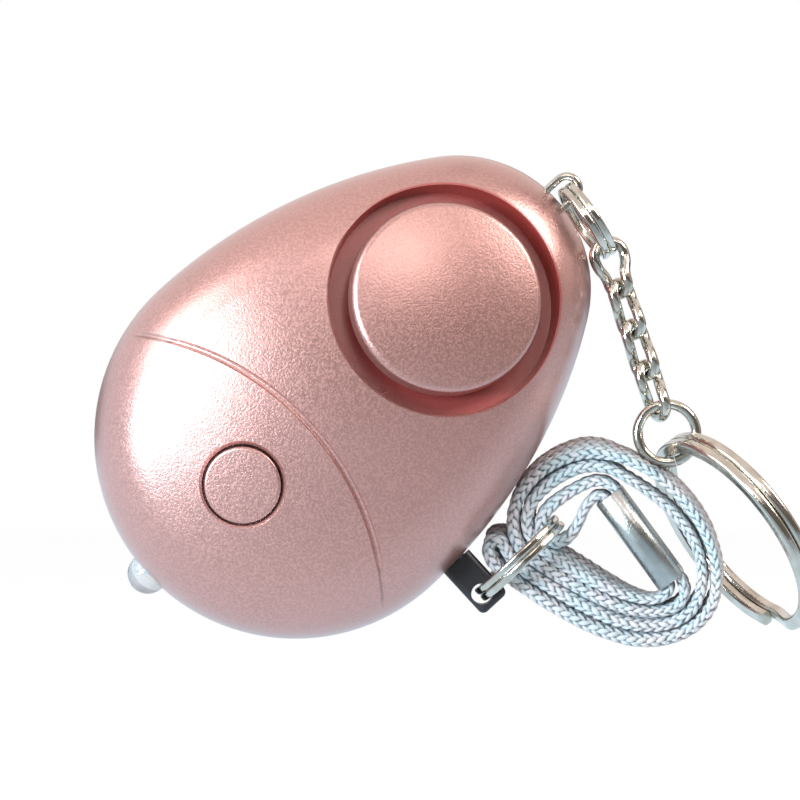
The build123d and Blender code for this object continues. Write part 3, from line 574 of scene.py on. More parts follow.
@dataclass(frozen=True)
class MilkyResin(Finish):
    """Clear cast resin with a milky heart, as on a lamp."""

    name: str
    grain: EffectGroup
    colour: Colour = (0.80, 0.82, 0.84)
    cloud_tint: Colour = (0.82, 0.88, 0.92)
    cloud_size: float = 1.5 * MM
    cloud_roughness: float = 0.05
    grain_size: float = 0.5 * MM
    clear: float = 0.75
    roughness: float = 0.06
    refraction: float = 1.5

    def build(self) -> bpy.types.Material:
        """Make the resin.

        Returns:
            The material.
        """
        made, graph, shader = self.material(self.name)
        effect = self.grain.place(graph, size=self.grain_size, cloud_size=self.cloud_size)
        cool = tuple(part * tint for part, tint in zip(self.colour, self.cloud_tint))
        graph.fill(shader, {
            "Base Color": graph.mix(effect["cloud"], self.colour, cool),
            "Roughness": graph.plus_share(self.roughness, effect["cloud"], self.cloud_roughness),
            "Transmission Weight": self.clear,
            "IOR": self.refraction,
        })
        return made


@dataclass(frozen=True)
class BraidYarn(Finish):
    """Bright polyester yarn, lilac grey on its crowns, with painted shade of dark teal in its hollows and
    darker toward its back edge.
    """

    name: str
    crown_colour: Colour = (0.64, 0.62, 0.665)
    cool_colour: Colour = (0.44, 0.63, 0.71)
    # Painted shade: a darker, warmer colour toward the strap's back edge.
    back_shade_colour: Colour = (0.46, 0.405, 0.415)
    # Painted shade: dark teal in the hollows between stitches, where shade falls.
    hollow_shade_colour: Colour = (0.045, 0.115, 0.150)
    fibre_colour: Colour = (0.72, 0.78, 0.84)
    patch_size: float = 3.5 * MM
    patch: Span = (0.35, 0.65)
    patch_share: float = 0.55
    stitch_share: float = 0.35
    back_shade_depth: Span = (0.22, 0.8)
    hollow_shade_height: float = 0.6
    fibre: Span = (0.32, 0.68)
    fibre_share: float = 0.22
    fibre_count: float = 5.0
    fibre_length: float = 0.8
    fibre_depth: float = 0.02 * MM
    roughness: Span = (0.62, 0.46)
    gloss: float = 0.45
    sheen: float = 0.25
    sheen_roughness: float = 0.45

    def build(self) -> bpy.types.Material:
        """Make the yarn from the heights and stitch places that the braid's mesh carries.

        Returns:
            The material.
        """
        made, graph, shader = self.material(self.name)
        crown, tone, depth = (
            graph.node("Attribute", attribute_name=name).outputs["Fac"]
            for name in ("crown", "stitch_tone", "depth_share")
        )
        patch = graph.ramp(graph.noise(graph.here(), self.patch_size, 2.0), *self.patch)
        cool = graph.plus_share(graph.math("MULTIPLY", patch, self.patch_share), tone, self.stitch_share)
        colour = graph.mix(cool, self.crown_colour, self.cool_colour)
        # Painted shade: the strap darkens toward its back edge.
        colour = graph.mix(graph.ramp(depth, *self.back_shade_depth), colour, self.back_shade_colour)
        # Painted shade: the hollows between stitches are coloured dark teal.
        hollow_shade = graph.ramp(crown, 0.0, self.hollow_shade_height, 1.0, 0.0)
        colour = graph.mix(hollow_shade, colour, self.hollow_shade_colour)
        fibres = self.fibres(graph)
        colour = graph.mix(graph.math("MULTIPLY", fibres, self.fibre_share), colour, self.fibre_colour)
        graph.fill(shader, {
            "Base Color": colour,
            "Roughness": graph.ramp(fibres, 0.0, 1.0, *self.roughness),
            "Normal": graph.bump(fibres, self.fibre_depth),
            "Specular IOR Level": self.gloss,
            "Sheen Weight": self.sheen,
            "Sheen Roughness": self.sheen_roughness,
        })
        return made

    def fibres(self, graph: Graph) -> Socket:
        """Fine threads along each stitch, from the stitch's own coordinates.

        Args:
            graph: The material's nodes.

        Returns:
            1 on a thread and 0 between threads.
        """
        yarn = graph.node("Attribute", attribute_name="yarn").outputs["Vector"]
        threads = (self.fibre_length, self.fibre_count, 1.0)
        stretched = graph.vector("MULTIPLY", yarn, threads).outputs[0]
        return graph.ramp(graph.noise(stretched, 1.0, 2.0), *self.fibre)


def add_object(name: str, data: bpy.types.ID) -> bpy.types.Object:
    """Put a mesh, a lamp or a camera in the scene.

    Args:
        name: The object's name.
        data: The mesh, lamp or camera.

    Returns:
        The object.
    """
    made = bpy.data.objects.new(name, data)
    bpy.context.scene.collection.objects.link(made)
    return made


def flat_mesh(name: str, wide: float, high: float, level: float = 0.0) -> bpy.types.Mesh:
    """A flat rectangle about its own middle.

    Args:
        name: The mesh's name.
        wide: Its width.
        high: Its height, along Y.
        level: Where it lies along Z.

    Returns:
        The mesh.
    """
    mesh = bpy.data.meshes.new(name)
    corners = [(side * wide / 2, up * high / 2, level) for side, up in ((-1, -1), (1, -1), (1, 1), (-1, 1))]
    mesh.from_pydata(corners, [], [(0, 1, 2, 3)])
    return mesh


def bare_material(mesh: bpy.types.Mesh) -> tuple[Graph, Socket]:
    """Give a mesh a material that has no shader yet.

    Args:
        mesh: The mesh, whose name the material takes.

    Returns:
        The material's nodes, and the socket that its surface goes to.
    """
    made = bpy.data.materials.new(mesh.name)
    made.use_nodes = True
    nodes = made.node_tree.nodes
    nodes.remove(nodes["Principled BSDF"])
    mesh.materials.append(made)
    return Graph(made.node_tree), nodes["Material Output"].inputs["Surface"]


def mesh_piece(
    name: str, points: np.ndarray, faces: list[tuple[int, ...]], body: str, slot: Slot
) -> bpy.types.Object:
    """Make a smooth mesh piece that rides on a body.

    Args:
        name: The piece's name.
        points: Its vertices, in metres.
        faces: Its faces, as lists of vertex numbers.
        body: The CAD body that it moves with.
        slot: The record's material slot; not used.

    Returns:
        The new object.
    """
    mesh = bpy.data.meshes.new(name)
    mesh.from_pydata(points.tolist(), [], faces)
    mesh.update()
    mesh.polygons.foreach_set("use_smooth", [True] * len(mesh.polygons))
    piece = add_object(name, mesh)
    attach(piece, body)
    return piece


def unit(ways: np.ndarray) -> np.ndarray:
    """Directions of length 1, one to a row."""
    return ways / np.linalg.norm(ways, axis=1)[:, None]


def smooth_step(value: np.ndarray) -> np.ndarray:
    """Ease a share from 0 to 1."""
    share = np.clip(value, 0, 1)
    return share * share * (3 - 2 * share)


def surface_of(nodes: list[bpy.types.Object]) -> BVHTree:
    """A search tree over the faces of some CAD nodes, joined.

    Args:
        nodes: The CAD nodes.

    Returns:
        The search tree.
    """
    points: list[Vector] = []
    faces: list[tuple[int, ...]] = []
    for node in nodes:
        start = len(points)
        points += [vertex.co.copy() for vertex in node.data.vertices]
        faces += [tuple(start + i for i in face.vertices) for face in node.data.polygons]
    return BVHTree.FromPolygons(points, faces)


@dataclass(frozen=True)
class SoftBox:
    """A soft lamp that faces the alarm: its place, width and height, watts and colour."""

    name: str
    place: Place
    size: Span
    power: float
    colour: Colour


@dataclass(frozen=True)
class DarkCard:
    """A dark card that faces the alarm: its place, width and height, and shade."""

    name: str
    place: Place
    size: Span
    shade: Colour


@dataclass
class Studio:
    """Camera, floor, light and surroundings."""

    aim: Vector = field(default_factory=lambda: Vector((5.36 * MM, -11 * MM, -1.59 * MM)))
    distance: float = 447 * MM
    lens: float = 180.0
    sensor: float = 36.0
    clip: Span = (0.05, 10.0)
    floor_drop: float = 12.9 * MM
    floor_size: float = 1.6
    floor_matt: float = 0.85
    floor_glow: float = 0.90
    floor_white: float = 1.07
    floor_gloss: float = 1.15
    floor_front_gloss: float = 0.50
    floor_front: Span = (-0.10, -0.01)
    ambient: float = 0.22
    patch_size: float = 0.55
    patch_edges: Span = (0.40, 0.60)
    patch_light: Span = (0.16, 1.0)
    cool: Colour = (0.70, 0.87, 1.0)
    warm: Colour = (1.0, 0.88, 0.82)
    warm_way: Place = (0.5, 0, 0.87)
    warm_reach: float = 0.7
    upper_light: float = 0.20
    lamps: tuple[SoftBox, ...] = (
        SoftBox("key", (-0.33, -0.43, 0.10), (0.26, 0.18), 1.9, (0.88, 0.97, 1.0)),
        SoftBox("face", (0.08, -0.52, 0.32), (0.22, 0.16), 0.48, (1.0, 0.87, 0.80)),
        SoftBox("upper", (0.42, -0.18, 0.36), (0.3, 0.2), 1.8, (1.0, 0.90, 0.84)),
        SoftBox("low_left", (-0.40, -0.38, 0.0), (0.2, 0.06), 2.2, (0.74, 0.91, 1.0)),
        SoftBox("side", (-0.42, -0.25, 0.28), (0.24, 0.24), 1.0, (1.0, 0.97, 0.95)),
    )
    cards: tuple[DarkCard, ...] = (
        DarkCard("dark_front", (0.05, -0.80, 0.0), (1.3, 1.0), (0.13, 0.115, 0.11)),
        DarkCard("dark_right", (0.55, -0.35, 0.0), (0.7, 1.0), (0.16, 0.14, 0.12)),
    )

    def add_camera(self) -> None:
        """Level camera, square to the alarm's face."""
        data = bpy.data.cameras.new("camera")
        data.lens = self.lens
        data.sensor_width = self.sensor
        data.clip_start, data.clip_end = self.clip
        camera = add_object("camera", data)
        camera.location = self.aim + Vector((0, -self.distance, 0))
        camera.rotation_euler = (math.radians(90), 0, 0)
        bpy.context.scene.camera = camera

    def add_floor(self, lowest: float) -> None:
        """Pale floor below the strap at every joint limit, which shows white and keeps a soft shadow.

        Args:
            lowest: The alarm's lowest point.
        """
        mesh = flat_mesh("floor", self.floor_size, self.floor_size, lowest - self.floor_drop)
        graph, surface = bare_material(mesh)
        matt = graph.node("BsdfDiffuse")
        graph.feed(matt.inputs["Color"], (self.floor_matt, self.floor_matt, self.floor_matt, 1))
        seen = graph.node("LightPath").outputs["Is Camera Ray"]
        depth = graph.vector("DOT_PRODUCT", graph.here(), (0, 1, 0)).outputs["Value"]
        gloss = graph.ramp(depth, *self.floor_front, self.floor_front_gloss, self.floor_gloss)
        white = graph.node("Emission")
        graph.fill(white, {
            "Strength": graph.ramp(seen, 0.0, 1.0, gloss, self.floor_white),
            "Color": graph.mix(seen, self.cool, WHITE),
        })
        mixed = graph.node("MixShader")
        graph.feed(mixed.inputs[0], graph.math("MULTIPLY", self.seen_directly(graph), self.floor_glow))
        graph.feed(mixed.inputs[1], matt.outputs[0])
        graph.feed(mixed.inputs[2], white.outputs[0])
        graph.feed(surface, mixed.outputs[0])
        add_object("floor", mesh)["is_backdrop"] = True

    def seen_directly(self, graph: Graph) -> Socket:
        """Mask of the rays that show the floor itself.

        Args:
            graph: The floor's nodes.

        Returns:
            1 for a ray from the camera, from a gloss or through glass, and 0 for light on the alarm.
        """
        path = graph.node("LightPath")
        seen = graph.math("MAXIMUM", path.outputs["Is Camera Ray"], path.outputs["Is Glossy Ray"])
        return graph.math("MAXIMUM", seen, path.outputs["Is Transmission Ray"])

    def add_world(self) -> None:
        """White behind the alarm, a room of light and dark patches in its gloss, and dim even light."""
        world = bpy.data.worlds.new("world")
        bpy.context.scene.world = world
        world.use_nodes = True
        graph = Graph(world.node_tree)
        path = graph.node("LightPath")
        direct = graph.math("MAXIMUM", path.outputs["Is Camera Ray"], path.outputs["Is Transmission Ray"])
        way = graph.node("TexCoord").outputs["Generated"]
        up_left = (-self.upper_light / 2, 0, self.upper_light)
        lift = graph.vector("DOT_PRODUCT", way, up_left).outputs["Value"]
        patch = graph.math("ADD", graph.noise(way, self.patch_size, 1.0), lift)
        gloss = graph.node("Mix", data_type="FLOAT")
        graph.feed(gloss.inputs["Factor"], path.outputs["Is Glossy Ray"])
        graph.feed(gloss.inputs[2], self.ambient)
        graph.feed(gloss.inputs[3], graph.ramp(patch, *self.patch_edges, *self.patch_light))
        warmth = graph.vector("DOT_PRODUCT", way, self.warm_way).outputs["Value"]
        tint = graph.mix(graph.ramp(warmth, -self.warm_reach, self.warm_reach), self.cool, self.warm)
        graph.fill(world.node_tree.nodes["Background"], {
            "Strength": graph.math("MAXIMUM", direct, gloss.outputs[0]),
            "Color": graph.mix(direct, tint, WHITE),
        })

    def add_lamp(self, box: SoftBox) -> None:
        """Hang a soft lamp.

        Args:
            box: The lamp.
        """
        data = bpy.data.lights.new(box.name, "AREA")
        data.shape = "RECTANGLE"
        data.size, data.size_y = box.size
        data.energy = box.power
        data.color = box.colour
        lamp = add_object(box.name, data)
        lamp.location = box.place
        lamp.rotation_euler = (self.aim - Vector(box.place)).to_track_quat("-Z", "Y").to_euler()

    def add_card(self, card: DarkCard) -> None:
        """Stand a dark card that only shows in reflections, as the unlit side of a studio does.

        Args:
            card: The card.
        """
        mesh = flat_mesh(card.name, *card.size)
        graph, surface = bare_material(mesh)
        glow = graph.node("Emission")
        graph.feed(glow.inputs["Color"], (*card.shade, 1))
        graph.feed(surface, glow.outputs[0])
        piece = add_object(card.name, mesh)
        piece.location = card.place
        piece.rotation_euler = (self.aim - Vector(card.place)).to_track_quat("Z", "Y").to_euler()
        for ray in ("camera", "diffuse", "shadow", "transmission"):
            setattr(piece, "visible_" + ray, False)
        piece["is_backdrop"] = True

    def build(self, lowest: float) -> None:
        """Set up the whole studio.

        Args:
            lowest: The alarm's lowest point.
        """
        bpy.context.scene.view_settings.view_transform = "Standard"
        self.add_floor(lowest)
        self.add_world()
        for box in self.lamps:
            self.add_lamp(box)
        for card in self.cards:
            self.add_card(card)


@dataclass
class Casing:
    """Shells, speaker disc, button and lamp, with the face's driving sizes."""

    nodes: dict[str, bpy.types.Object]
    grain: EffectGroup
    long_turn: float = math.radians(42.6)
    speaker_reach: float = 23.0 * MM
    dome_middle: float = 6.0 * MM
    dome_radius: float = 70.0 * MM
    well_radius: float = 13.02 * MM
    groove_arm: float = 37.63 * MM
    seam_depth: float = -11.0 * MM

    def __post_init__(self) -> None:
        """Work out the way that the egg's length points."""
        self.along = Vector((math.cos(self.long_turn), 0, math.sin(self.long_turn)))

    def well(self) -> Well:
        """The speaker's recess, square to the dome.

        Returns:
            The recess, about the disc's place in the frame.
        """
        low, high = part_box("speaker_cover")
        slope = math.asin((self.speaker_reach - self.dome_middle) / self.dome_radius)
        axis = self.along * math.sin(slope) + Vector((0, -1, 0)) * math.cos(slope)
        return Well(tuple((low + high) / 2), tuple(axis), self.well_radius)

    def groove(self) -> Groove:
        """The face's groove, an arc about a point beyond the wide end."""
        middle = self.along * -self.groove_arm + Vector((0, self.seam_depth, 0))
        return Groove(tuple(middle), self.long_turn)

    def build(self) -> None:
        """Dress the casing's pieces."""
        front = SatinPaint("rose_paint_front", self.grain, well=self.well(), groove=self.groove())
        front.dress(self.nodes["front_shell"])
        paint = SatinPaint("rose_paint", self.grain)
        paint.dress(*[self.nodes[name] for name in ("rear_shell", "speaker_cover", "light_button")])
        MilkyResin("lamp_resin", self.grain).dress(self.nodes["led_lamp"])


@dataclass
class Insides:
    """Board, cells, siren and fasteners inside the casing."""

    nodes: dict[str, bpy.types.Object]
    grain: EffectGroup
    marks: EffectGroup

    def moulded(self) -> list[tuple[Finish, list[str]]]:
        """Moulded and cast finishes.

        Returns:
            Each finish with the pieces that take it.
        """
        plastic, grain = MouldedPlastic, self.grain
        return [
            (plastic("black_moulding", grain, (0.020, 0.020, 0.024)),
             ["tact_switch", "siren_housing", "driver_chip", "transistor", "capacitor", "pin_bush"]),
            (plastic("white_moulding", grain, (0.72, 0.72, 0.70), tone_spread=0.08),
             ["battery_tray", "switch_plunger"]),
            (plastic("foam_ring", grain, (0.05, 0.05, 0.05), 0.9, 0.4 * MM, 0.08 * MM), ["siren_gasket"]),
            (plastic("solder_mask", grain, (0.035, 0.20, 0.085), 0.35), ["circuit_board"]),
            (plastic("wire_sheath", grain, (0.45, 0.04, 0.03), 0.45), ["siren_wires"]),
            (plastic("ceramic", grain, (0.78, 0.76, 0.70), 0.4, tone_spread=0.1), ["piezo_ceramic"]),
        ]

    def metal(self) -> list[tuple[Finish, list[str]]]:
        """Metal finishes.

        Returns:
            Each finish with the pieces that take it.
        """
        plate, marks = PlatedMetal, self.marks
        return [
            (plate("bright_steel", marks, (0.62, 0.62, 0.60), (0.5, 0.5, 0.48), 0.25),
             ["board_screws", "case_screws", "button_cells", "led_leads", "battery_contact_plus",
              "battery_contact_minus"]),
            (plate("brass", marks, (0.74, 0.56, 0.26), (0.60, 0.42, 0.18), 0.22),
             ["piezo_plate", "pin_contact_fixed", "pin_contact_leaf"]),
            (plate("coil_copper", marks, (0.62, 0.30, 0.16), (0.45, 0.2, 0.1), 0.35), ["step_up_coil"]),
        ]

    def build(self) -> None:
        """Dress the inner pieces."""
        for finish, names in self.moulded() + self.metal():
            finish.dress(*[self.nodes[name] for name in names])


@dataclass
class Chain:
    """Staple, rings and chain links, in bright nickel plate."""

    nodes: dict[str, bpy.types.Object]
    marks: EffectGroup

    def build(self) -> None:
        """Dress the metal pieces."""
        names = ["chain_staple", "eye_split_ring", "jump_ring", "key_ring", "pin_split_ring"]
        names += [name for name in self.nodes if name.startswith("chain_link")]
        PlatedMetal("nickel_plate", self.marks).dress(*[self.nodes[name] for name in names])


@dataclass
class PullPin:
    """Black pull pin."""

    nodes: dict[str, bpy.types.Object]
    grain: EffectGroup
    colour: Colour = (0.012, 0.012, 0.016)
    roughness: float = 0.42
    grain_size: float = 0.12 * MM
    grain_depth: float = 0.01 * MM

    def build(self) -> None:
        """Dress the pin."""
        sizes = self.roughness, self.grain_size, self.grain_depth
        MouldedPlastic("spark_black", self.grain, self.colour, *sizes).dress(self.nodes["pull_pin"])


@dataclass
class Crimp:
    """Sleeve that clamps the strap: its place, the way it points and its sizes."""

    marks: EffectGroup
    slant: float = math.radians(36.2)
    length: float = 11.9 * MM
    width: float = 5.92 * MM
    thickness: float = 3.38 * MM
    wall: float = 0.35 * MM
    corner_share: float = 0.44
    least_corner: float = 0.25
    lean: float = math.radians(7.0)
    end_round: float = 0.12 * MM
    corner_steps: int = 12
    sharp_edge: float = math.radians(50)
    colour: Colour = (0.53, 0.55, 0.54)
    worn: Colour = (0.43, 0.46, 0.46)
    roughness: float = 0.25
    spread: float = 0.10
    scratch_depth: float = 0.006 * MM
    smudge_size: float = 1.2 * MM

    def __post_init__(self) -> None:
        """Work out the sleeve's middle and directions."""
        low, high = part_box("strap_ferrule")
        self.middle = (low + high) / 2
        self.down = Vector((math.sin(self.slant), 0, -math.cos(self.slant)))
        self.right = Vector((math.cos(self.slant), 0, math.sin(self.slant)))

    def section(self, inset: float) -> list[Span]:
        """Outline of the sleeve, drawn in all round.

        Args:
            inset: How far it is drawn in.

        Returns:
            Places across the width and the thickness.
        """
        half_wide, half_thick = self.width / 2 - inset, self.thickness / 2 - inset
        corner = max(self.thickness * self.corner_share - inset, half_thick * self.least_corner)
        places = []
        for quarter, (side_w, side_t) in enumerate(((1, 1), (-1, 1), (-1, -1), (1, -1))):
            for step in range(self.corner_steps + 1):
                angle = (quarter + step / self.corner_steps) * math.pi / 2
                wide = side_w * (half_wide - corner) + corner * math.cos(angle)
                places.append((wide, side_t * (half_thick - corner) + corner * math.sin(angle)))
        return places

    def skin(self) -> tuple[np.ndarray, list[tuple[int, ...]]]:
        """Outside, rounded ends and inside of the sleeve, as one closed skin.

        Returns:
            Its points and its faces.
        """
        across = (Vector((0, 1, 0)) * math.cos(self.lean) + self.right * math.sin(self.lean)).normalized()
        through = self.down.cross(across)
        half, bevel = self.length / 2, self.end_round
        outside = [(-half, bevel), (-half + bevel, 0), (half - bevel, 0), (half, bevel)]
        rings = outside + [(half, self.wall), (-half, self.wall)]
        points = []
        for along, inset in rings:
            for wide, thick in self.section(inset):
                points.append(self.middle + self.down * along + across * wide + through * thick)
        count = len(points) // len(rings)
        faces = []
        for ring in range(len(rings)):
            here, there = ring * count, (ring + 1) % len(rings) * count
            for i in range(count):
                j = (i + 1) % count
                faces.append((here + i, here + j, there + j, there + i))
        return np.array(points), faces

    def build(self) -> bpy.types.Object:
        """Make the sleeve and dress it.

        Returns:
            The sleeve.
        """
        piece = mesh_piece("crimp_sleeve", *self.skin(), "strap", Slot.SATIN)
        work = bmesh.new()
        work.from_mesh(piece.data)
        bmesh.ops.recalc_face_normals(work, faces=work.faces)
        work.to_mesh(piece.data)
        work.free()
        piece.modifiers.new("edges", "EDGE_SPLIT").split_angle = self.sharp_edge
        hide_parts("strap_ferrule")
        values = self.colour, self.worn, self.roughness, self.spread, self.scratch_depth, self.smudge_size
        PlatedMetal("satin_nickel", self.marks, *values).dress(piece)
        return piece


@dataclass
class Braid:
    """Flat tubular braid: how its stitches lie, how they stand out and how much they vary."""

    width: float
    thickness: float = 1.52 * MM
    columns: int = 12
    stitch_pitch: float = 1.14 * MM
    stitch_slant: float = math.radians(41)
    stitch_length: float = 1.60 * MM
    stitch_width: float = 0.78 * MM
    relief: float = 0.30 * MM
    overlap_tilt: float = 0.22
    place_vary: float = 0.04
    width_vary: float = 0.06
    height_vary: float = 0.08
    samples_a_column: int = 6
    samples_a_pitch: int = 6
    seed: int = 7
    table_size: int = 4096
    table_column: int = 613
    table_row: int = 17
    fibre_shift: float = 7.3
    highest: float = 1.2

    def __post_init__(self) -> None:
        """Work out the section's edge radius and length, and the points all round it."""
        self.edge = self.thickness / 2
        self.flat = self.width - self.thickness
        self.around = 2 * self.flat + 2 * math.pi * self.edge
        self.count = self.columns * self.samples_a_column
        self.u = np.arange(self.count) * self.around / self.count

    def section(self, u: np.ndarray) -> tuple[np.ndarray, np.ndarray]:
        """Places and outward directions on the section, a bar with half round edges.

        Args:
            u: Distance round the section from the middle of its front edge.

        Returns:
            Places and directions, each as width and thickness parts.
        """
        quarter = math.pi * self.edge / 2
        stops = np.cumsum([quarter, self.flat, 2 * quarter, self.flat])
        reach = self.flat / 2
        angle_front = np.where(u > stops[3], (u - self.around) / self.edge, u / self.edge)
        angle_back = (u - stops[1]) / self.edge
        front = (u <= stops[0]) | (u > stops[3])
        top = (u > stops[0]) & (u <= stops[1])
        back = (u > stops[1]) & (u <= stops[2])
        parts = [front, top, back]
        out_w = np.select(parts, [-np.cos(angle_front), 0 * u, np.sin(angle_back)], 0.0)
        out_t = np.select(parts, [np.sin(angle_front), 1 + 0 * u, np.cos(angle_back)], -1.0)
        starts = [-reach + 0 * u, -reach + (u - stops[0]), reach + 0 * u]
        start_w = np.select(parts, starts, reach - (u - stops[2]))
        places = np.stack([start_w + self.edge * out_w * (front | back), self.edge * out_t], -1)
        return places, np.stack([out_w, out_t], -1)

    def stitches(self, u: np.ndarray, s: np.ndarray) -> dict[str, np.ndarray]:
        """Height of the stitches over the braid's surface.

        Args:
            u: Distance round the section.
            s: Distance along the strap.

        Returns:
            Height between 0 and 1, a tone for each stitch, and the place on the stitch.
        """
        column_width = self.around / self.columns
        table = np.random.default_rng(self.seed).uniform(-1, 1, (self.table_size, 3))
        sine, cosine = math.sin(self.stitch_slant), math.cos(self.stitch_slant)
        length = self.stitch_length / 2
        best = np.full(u.shape, -1.0)
        tone = np.zeros(u.shape)
        along_best = np.zeros(u.shape)
        across_best = np.zeros(u.shape)
        home = np.floor(u / column_width)
        for side, step in product((-1, 0, 1), repeat=2):
            column = home + side
            parity = np.mod(column, 2)
            way = 1 - 2 * parity
            index = np.round(s / self.stitch_pitch - 0.5 * parity) + step
            cell = np.mod(column, self.columns) * self.table_column + index * self.table_row
            key = cell.astype(int) % len(table)
            vary = table[key]
            du = u - (column + 0.5) * column_width
            ds = s - (index + 0.5 * parity + self.place_vary * vary[..., 0]) * self.stitch_pitch
            along = du * way * sine + ds * cosine
            across = du * cosine - ds * way * sine
            width = self.stitch_width / 2 * (1 + self.width_vary * vary[..., 1])
            q = (along / length) ** 2 + (across / width) ** 2
            height = np.sqrt(np.clip(1 - q, 0, 1)) * (1 + self.overlap_tilt * way * along / length)
            height *= 1 - self.height_vary + self.height_vary * vary[..., 2]
            better = height > best
            best = np.where(better, height, best)
            tone = np.where(better, 0.5 + 0.5 * vary[..., 0], tone)
            along_best = np.where(better, along / length + self.fibre_shift * key, along_best)
            across_best = np.where(better, across / width, across_best)
        crown = np.clip(best, 0, self.highest)
        return {"crown": crown, "tone": tone, "along": along_best, "across": across_best}


def tube_faces(rings: int, count: int) -> list[tuple[int, ...]]:
    """Faces of a tube made of rings of points, closed at both ends.

    Args:
        rings: Number of rings.
        count: Points on each ring.

    Returns:
        The faces.
    """
    faces: list[tuple[int, ...]] = []
    for ring in range(rings - 1):
        here, there = ring * count, (ring + 1) * count
        for i in range(count):
            j = (i + 1) % count
            faces.append((here + i, there + i, there + j, here + j))
    faces.append(tuple(range(count)))
    faces.append(tuple((rings - 1) * count + i for i in reversed(range(count))))
    return faces


@dataclass
class WristStrap:
    """Braided strap in one length: small loop, crimp and rolled wrist loop."""

    nodes: dict[str, bpy.types.Object]
    crimp: Crimp
    strand_pitch: float = 1.46 * MM
    seat_reach: float = 4.75 * MM
    mouth_reach: float = 6.75 * MM
    crimp_squeeze: float = 0.80
    roll_lift: Span = (0.70 * MM, 1.85 * MM)
    loop_lift: Span = (0.25 * MM, 0.30 * MM)
    crimp_lift: float = 0.60 * MM
    fade: float = 6 * MM
    clearance: float = 0.12 * MM
    reach_of_push: float = 1.6 * MM
    edge_room: float = 0.49 * MM
    turn_reach: float = 0.4 * MM
    spline_steps: int = 24

    def mouth(self, end: int, side: int) -> list[Vector]:
        """Two route points on one strand: inside the crimp and just out of it."""
        across = self.crimp.right * (side * self.strand_pitch / 2)
        return [self.crimp.down * (end * reach) + across for reach in (self.seat_reach, self.mouth_reach)]

    def route(self) -> list[Vector]:
        """Points that steer the strap's middle line.

        Returns:
            The points, from the middle of the crimp back to it.
        """
        start = self.crimp.right * (self.strand_pitch / 2)
        small_loop = [Vector((x, 0, z)) for x, z in LOOP_ROUTE]
        roll = [Vector((x, 0, z)) for x, z in reversed(ROLL_ROUTE)]
        points = [start, *self.mouth(-1, 1), *small_loop, *reversed(self.mouth(-1, -1)), -start]
        points += [*self.mouth(1, -1), *roll, *reversed(self.mouth(1, 1)), start]
        return [self.crimp.middle + point for point in points]

    def smooth_line(self) -> np.ndarray:
        """The route as a smooth line, read from a NURBS spline that it steers.

        Returns:
            The line's points.
        """
        curve = bpy.data.curves.new("strap_route", "CURVE")
        curve.dimensions = "3D"
        spline = curve.splines.new("NURBS")
        points = self.route()
        spline.points.add(len(points) - 1)
        for target, point in zip(spline.points, points):
            target.co = (*point, 1)
        spline.order_u = 3
        spline.use_endpoint_u = True
        spline.resolution_u = self.spline_steps
        holder = bpy.data.objects.new("strap_route", curve)
        mesh = bpy.data.meshes.new_from_object(holder)
        line = np.array([vertex.co for vertex in mesh.vertices])
        bpy.data.meshes.remove(mesh)
        bpy.data.objects.remove(holder)
        bpy.data.curves.remove(curve)
        return line

    def spaced(self, line: np.ndarray, step: float) -> tuple[np.ndarray, np.ndarray]:
        """The line again with even spacing.

        Args:
            line: Points of the line.
            step: Wanted distance between points.

        Returns:
            The new points, and each one's distance along the line.
        """
        along = np.concatenate([[0], np.cumsum(np.linalg.norm(np.diff(line, axis=0), axis=1))])
        count = round(along[-1] / step) + 1
        travel = np.linspace(0, along[-1], count)
        return np.stack([np.interp(travel, along, line[:, i]) for i in range(3)], 1), travel

    def in_crimp(self, line: np.ndarray) -> np.ndarray:
        """How far the strap is inside the crimp.

        Args:
            line: The strap's middle line.

        Returns:
            1 inside the crimp, easing to 0 away from it, for each point.
        """
        arm = line - np.array(self.crimp.middle)
        along = np.abs(arm @ np.array(self.crimp.down))
        aside = np.abs(arm @ np.array(self.crimp.right))
        outside = np.maximum(along - self.crimp.length / 2, 0) + np.maximum(aside - 2 * self.strand_pitch, 0)
        return 1 - smooth_step(outside / self.fade)

    def lift(self, line: np.ndarray, travel: np.ndarray) -> np.ndarray:
        """How far the back edge lies to the right of and above the front edge.

        Args:
            line: The strap's middle line.
            travel: Distance along it.

        Returns:
            A vector in the upright plane for each point.
        """
        crimp_share = self.in_crimp(line)[:, None]
        second_strand = self.crimp.middle - self.crimp.right * (self.strand_pitch / 2)
        away = np.linalg.norm(line - np.array(second_strand), axis=1)
        passed = np.nonzero(away < self.turn_reach)[0]
        turn = travel[passed[0]] if len(passed) else 0.0
        free = np.where((travel < turn)[:, None], np.array([self.loop_lift]), np.array([self.roll_lift]))
        crimp_way = np.array([[self.crimp.right.x, self.crimp.right.z]]) * self.crimp_lift
        flat = free * (1 - crimp_share) + crimp_way * crimp_share
        return np.stack([flat[:, 0], np.zeros(len(flat)), flat[:, 1]], 1)

    def pushed_clear(self, points: np.ndarray, obstacles: list[BVHTree]) -> np.ndarray:
        """Points moved out of the solids that the strap lies against.

        Args:
            points: The strap's points.
            obstacles: Search trees of the solids.

        Returns:
            The points, each at least the clearance outside the solids near it.
        """
        moved = points.copy()
        for tree in obstacles:
            for index, point in enumerate(moved):
                place, normal, _, distance = tree.find_nearest(Vector(point), self.reach_of_push)
                if place is None or distance is None:
                    continue
                height = (Vector(point) - place).dot(normal)
                if height < self.clearance:
                    moved[index] = np.array(Vector(point) + normal * (self.clearance - height))
        return moved

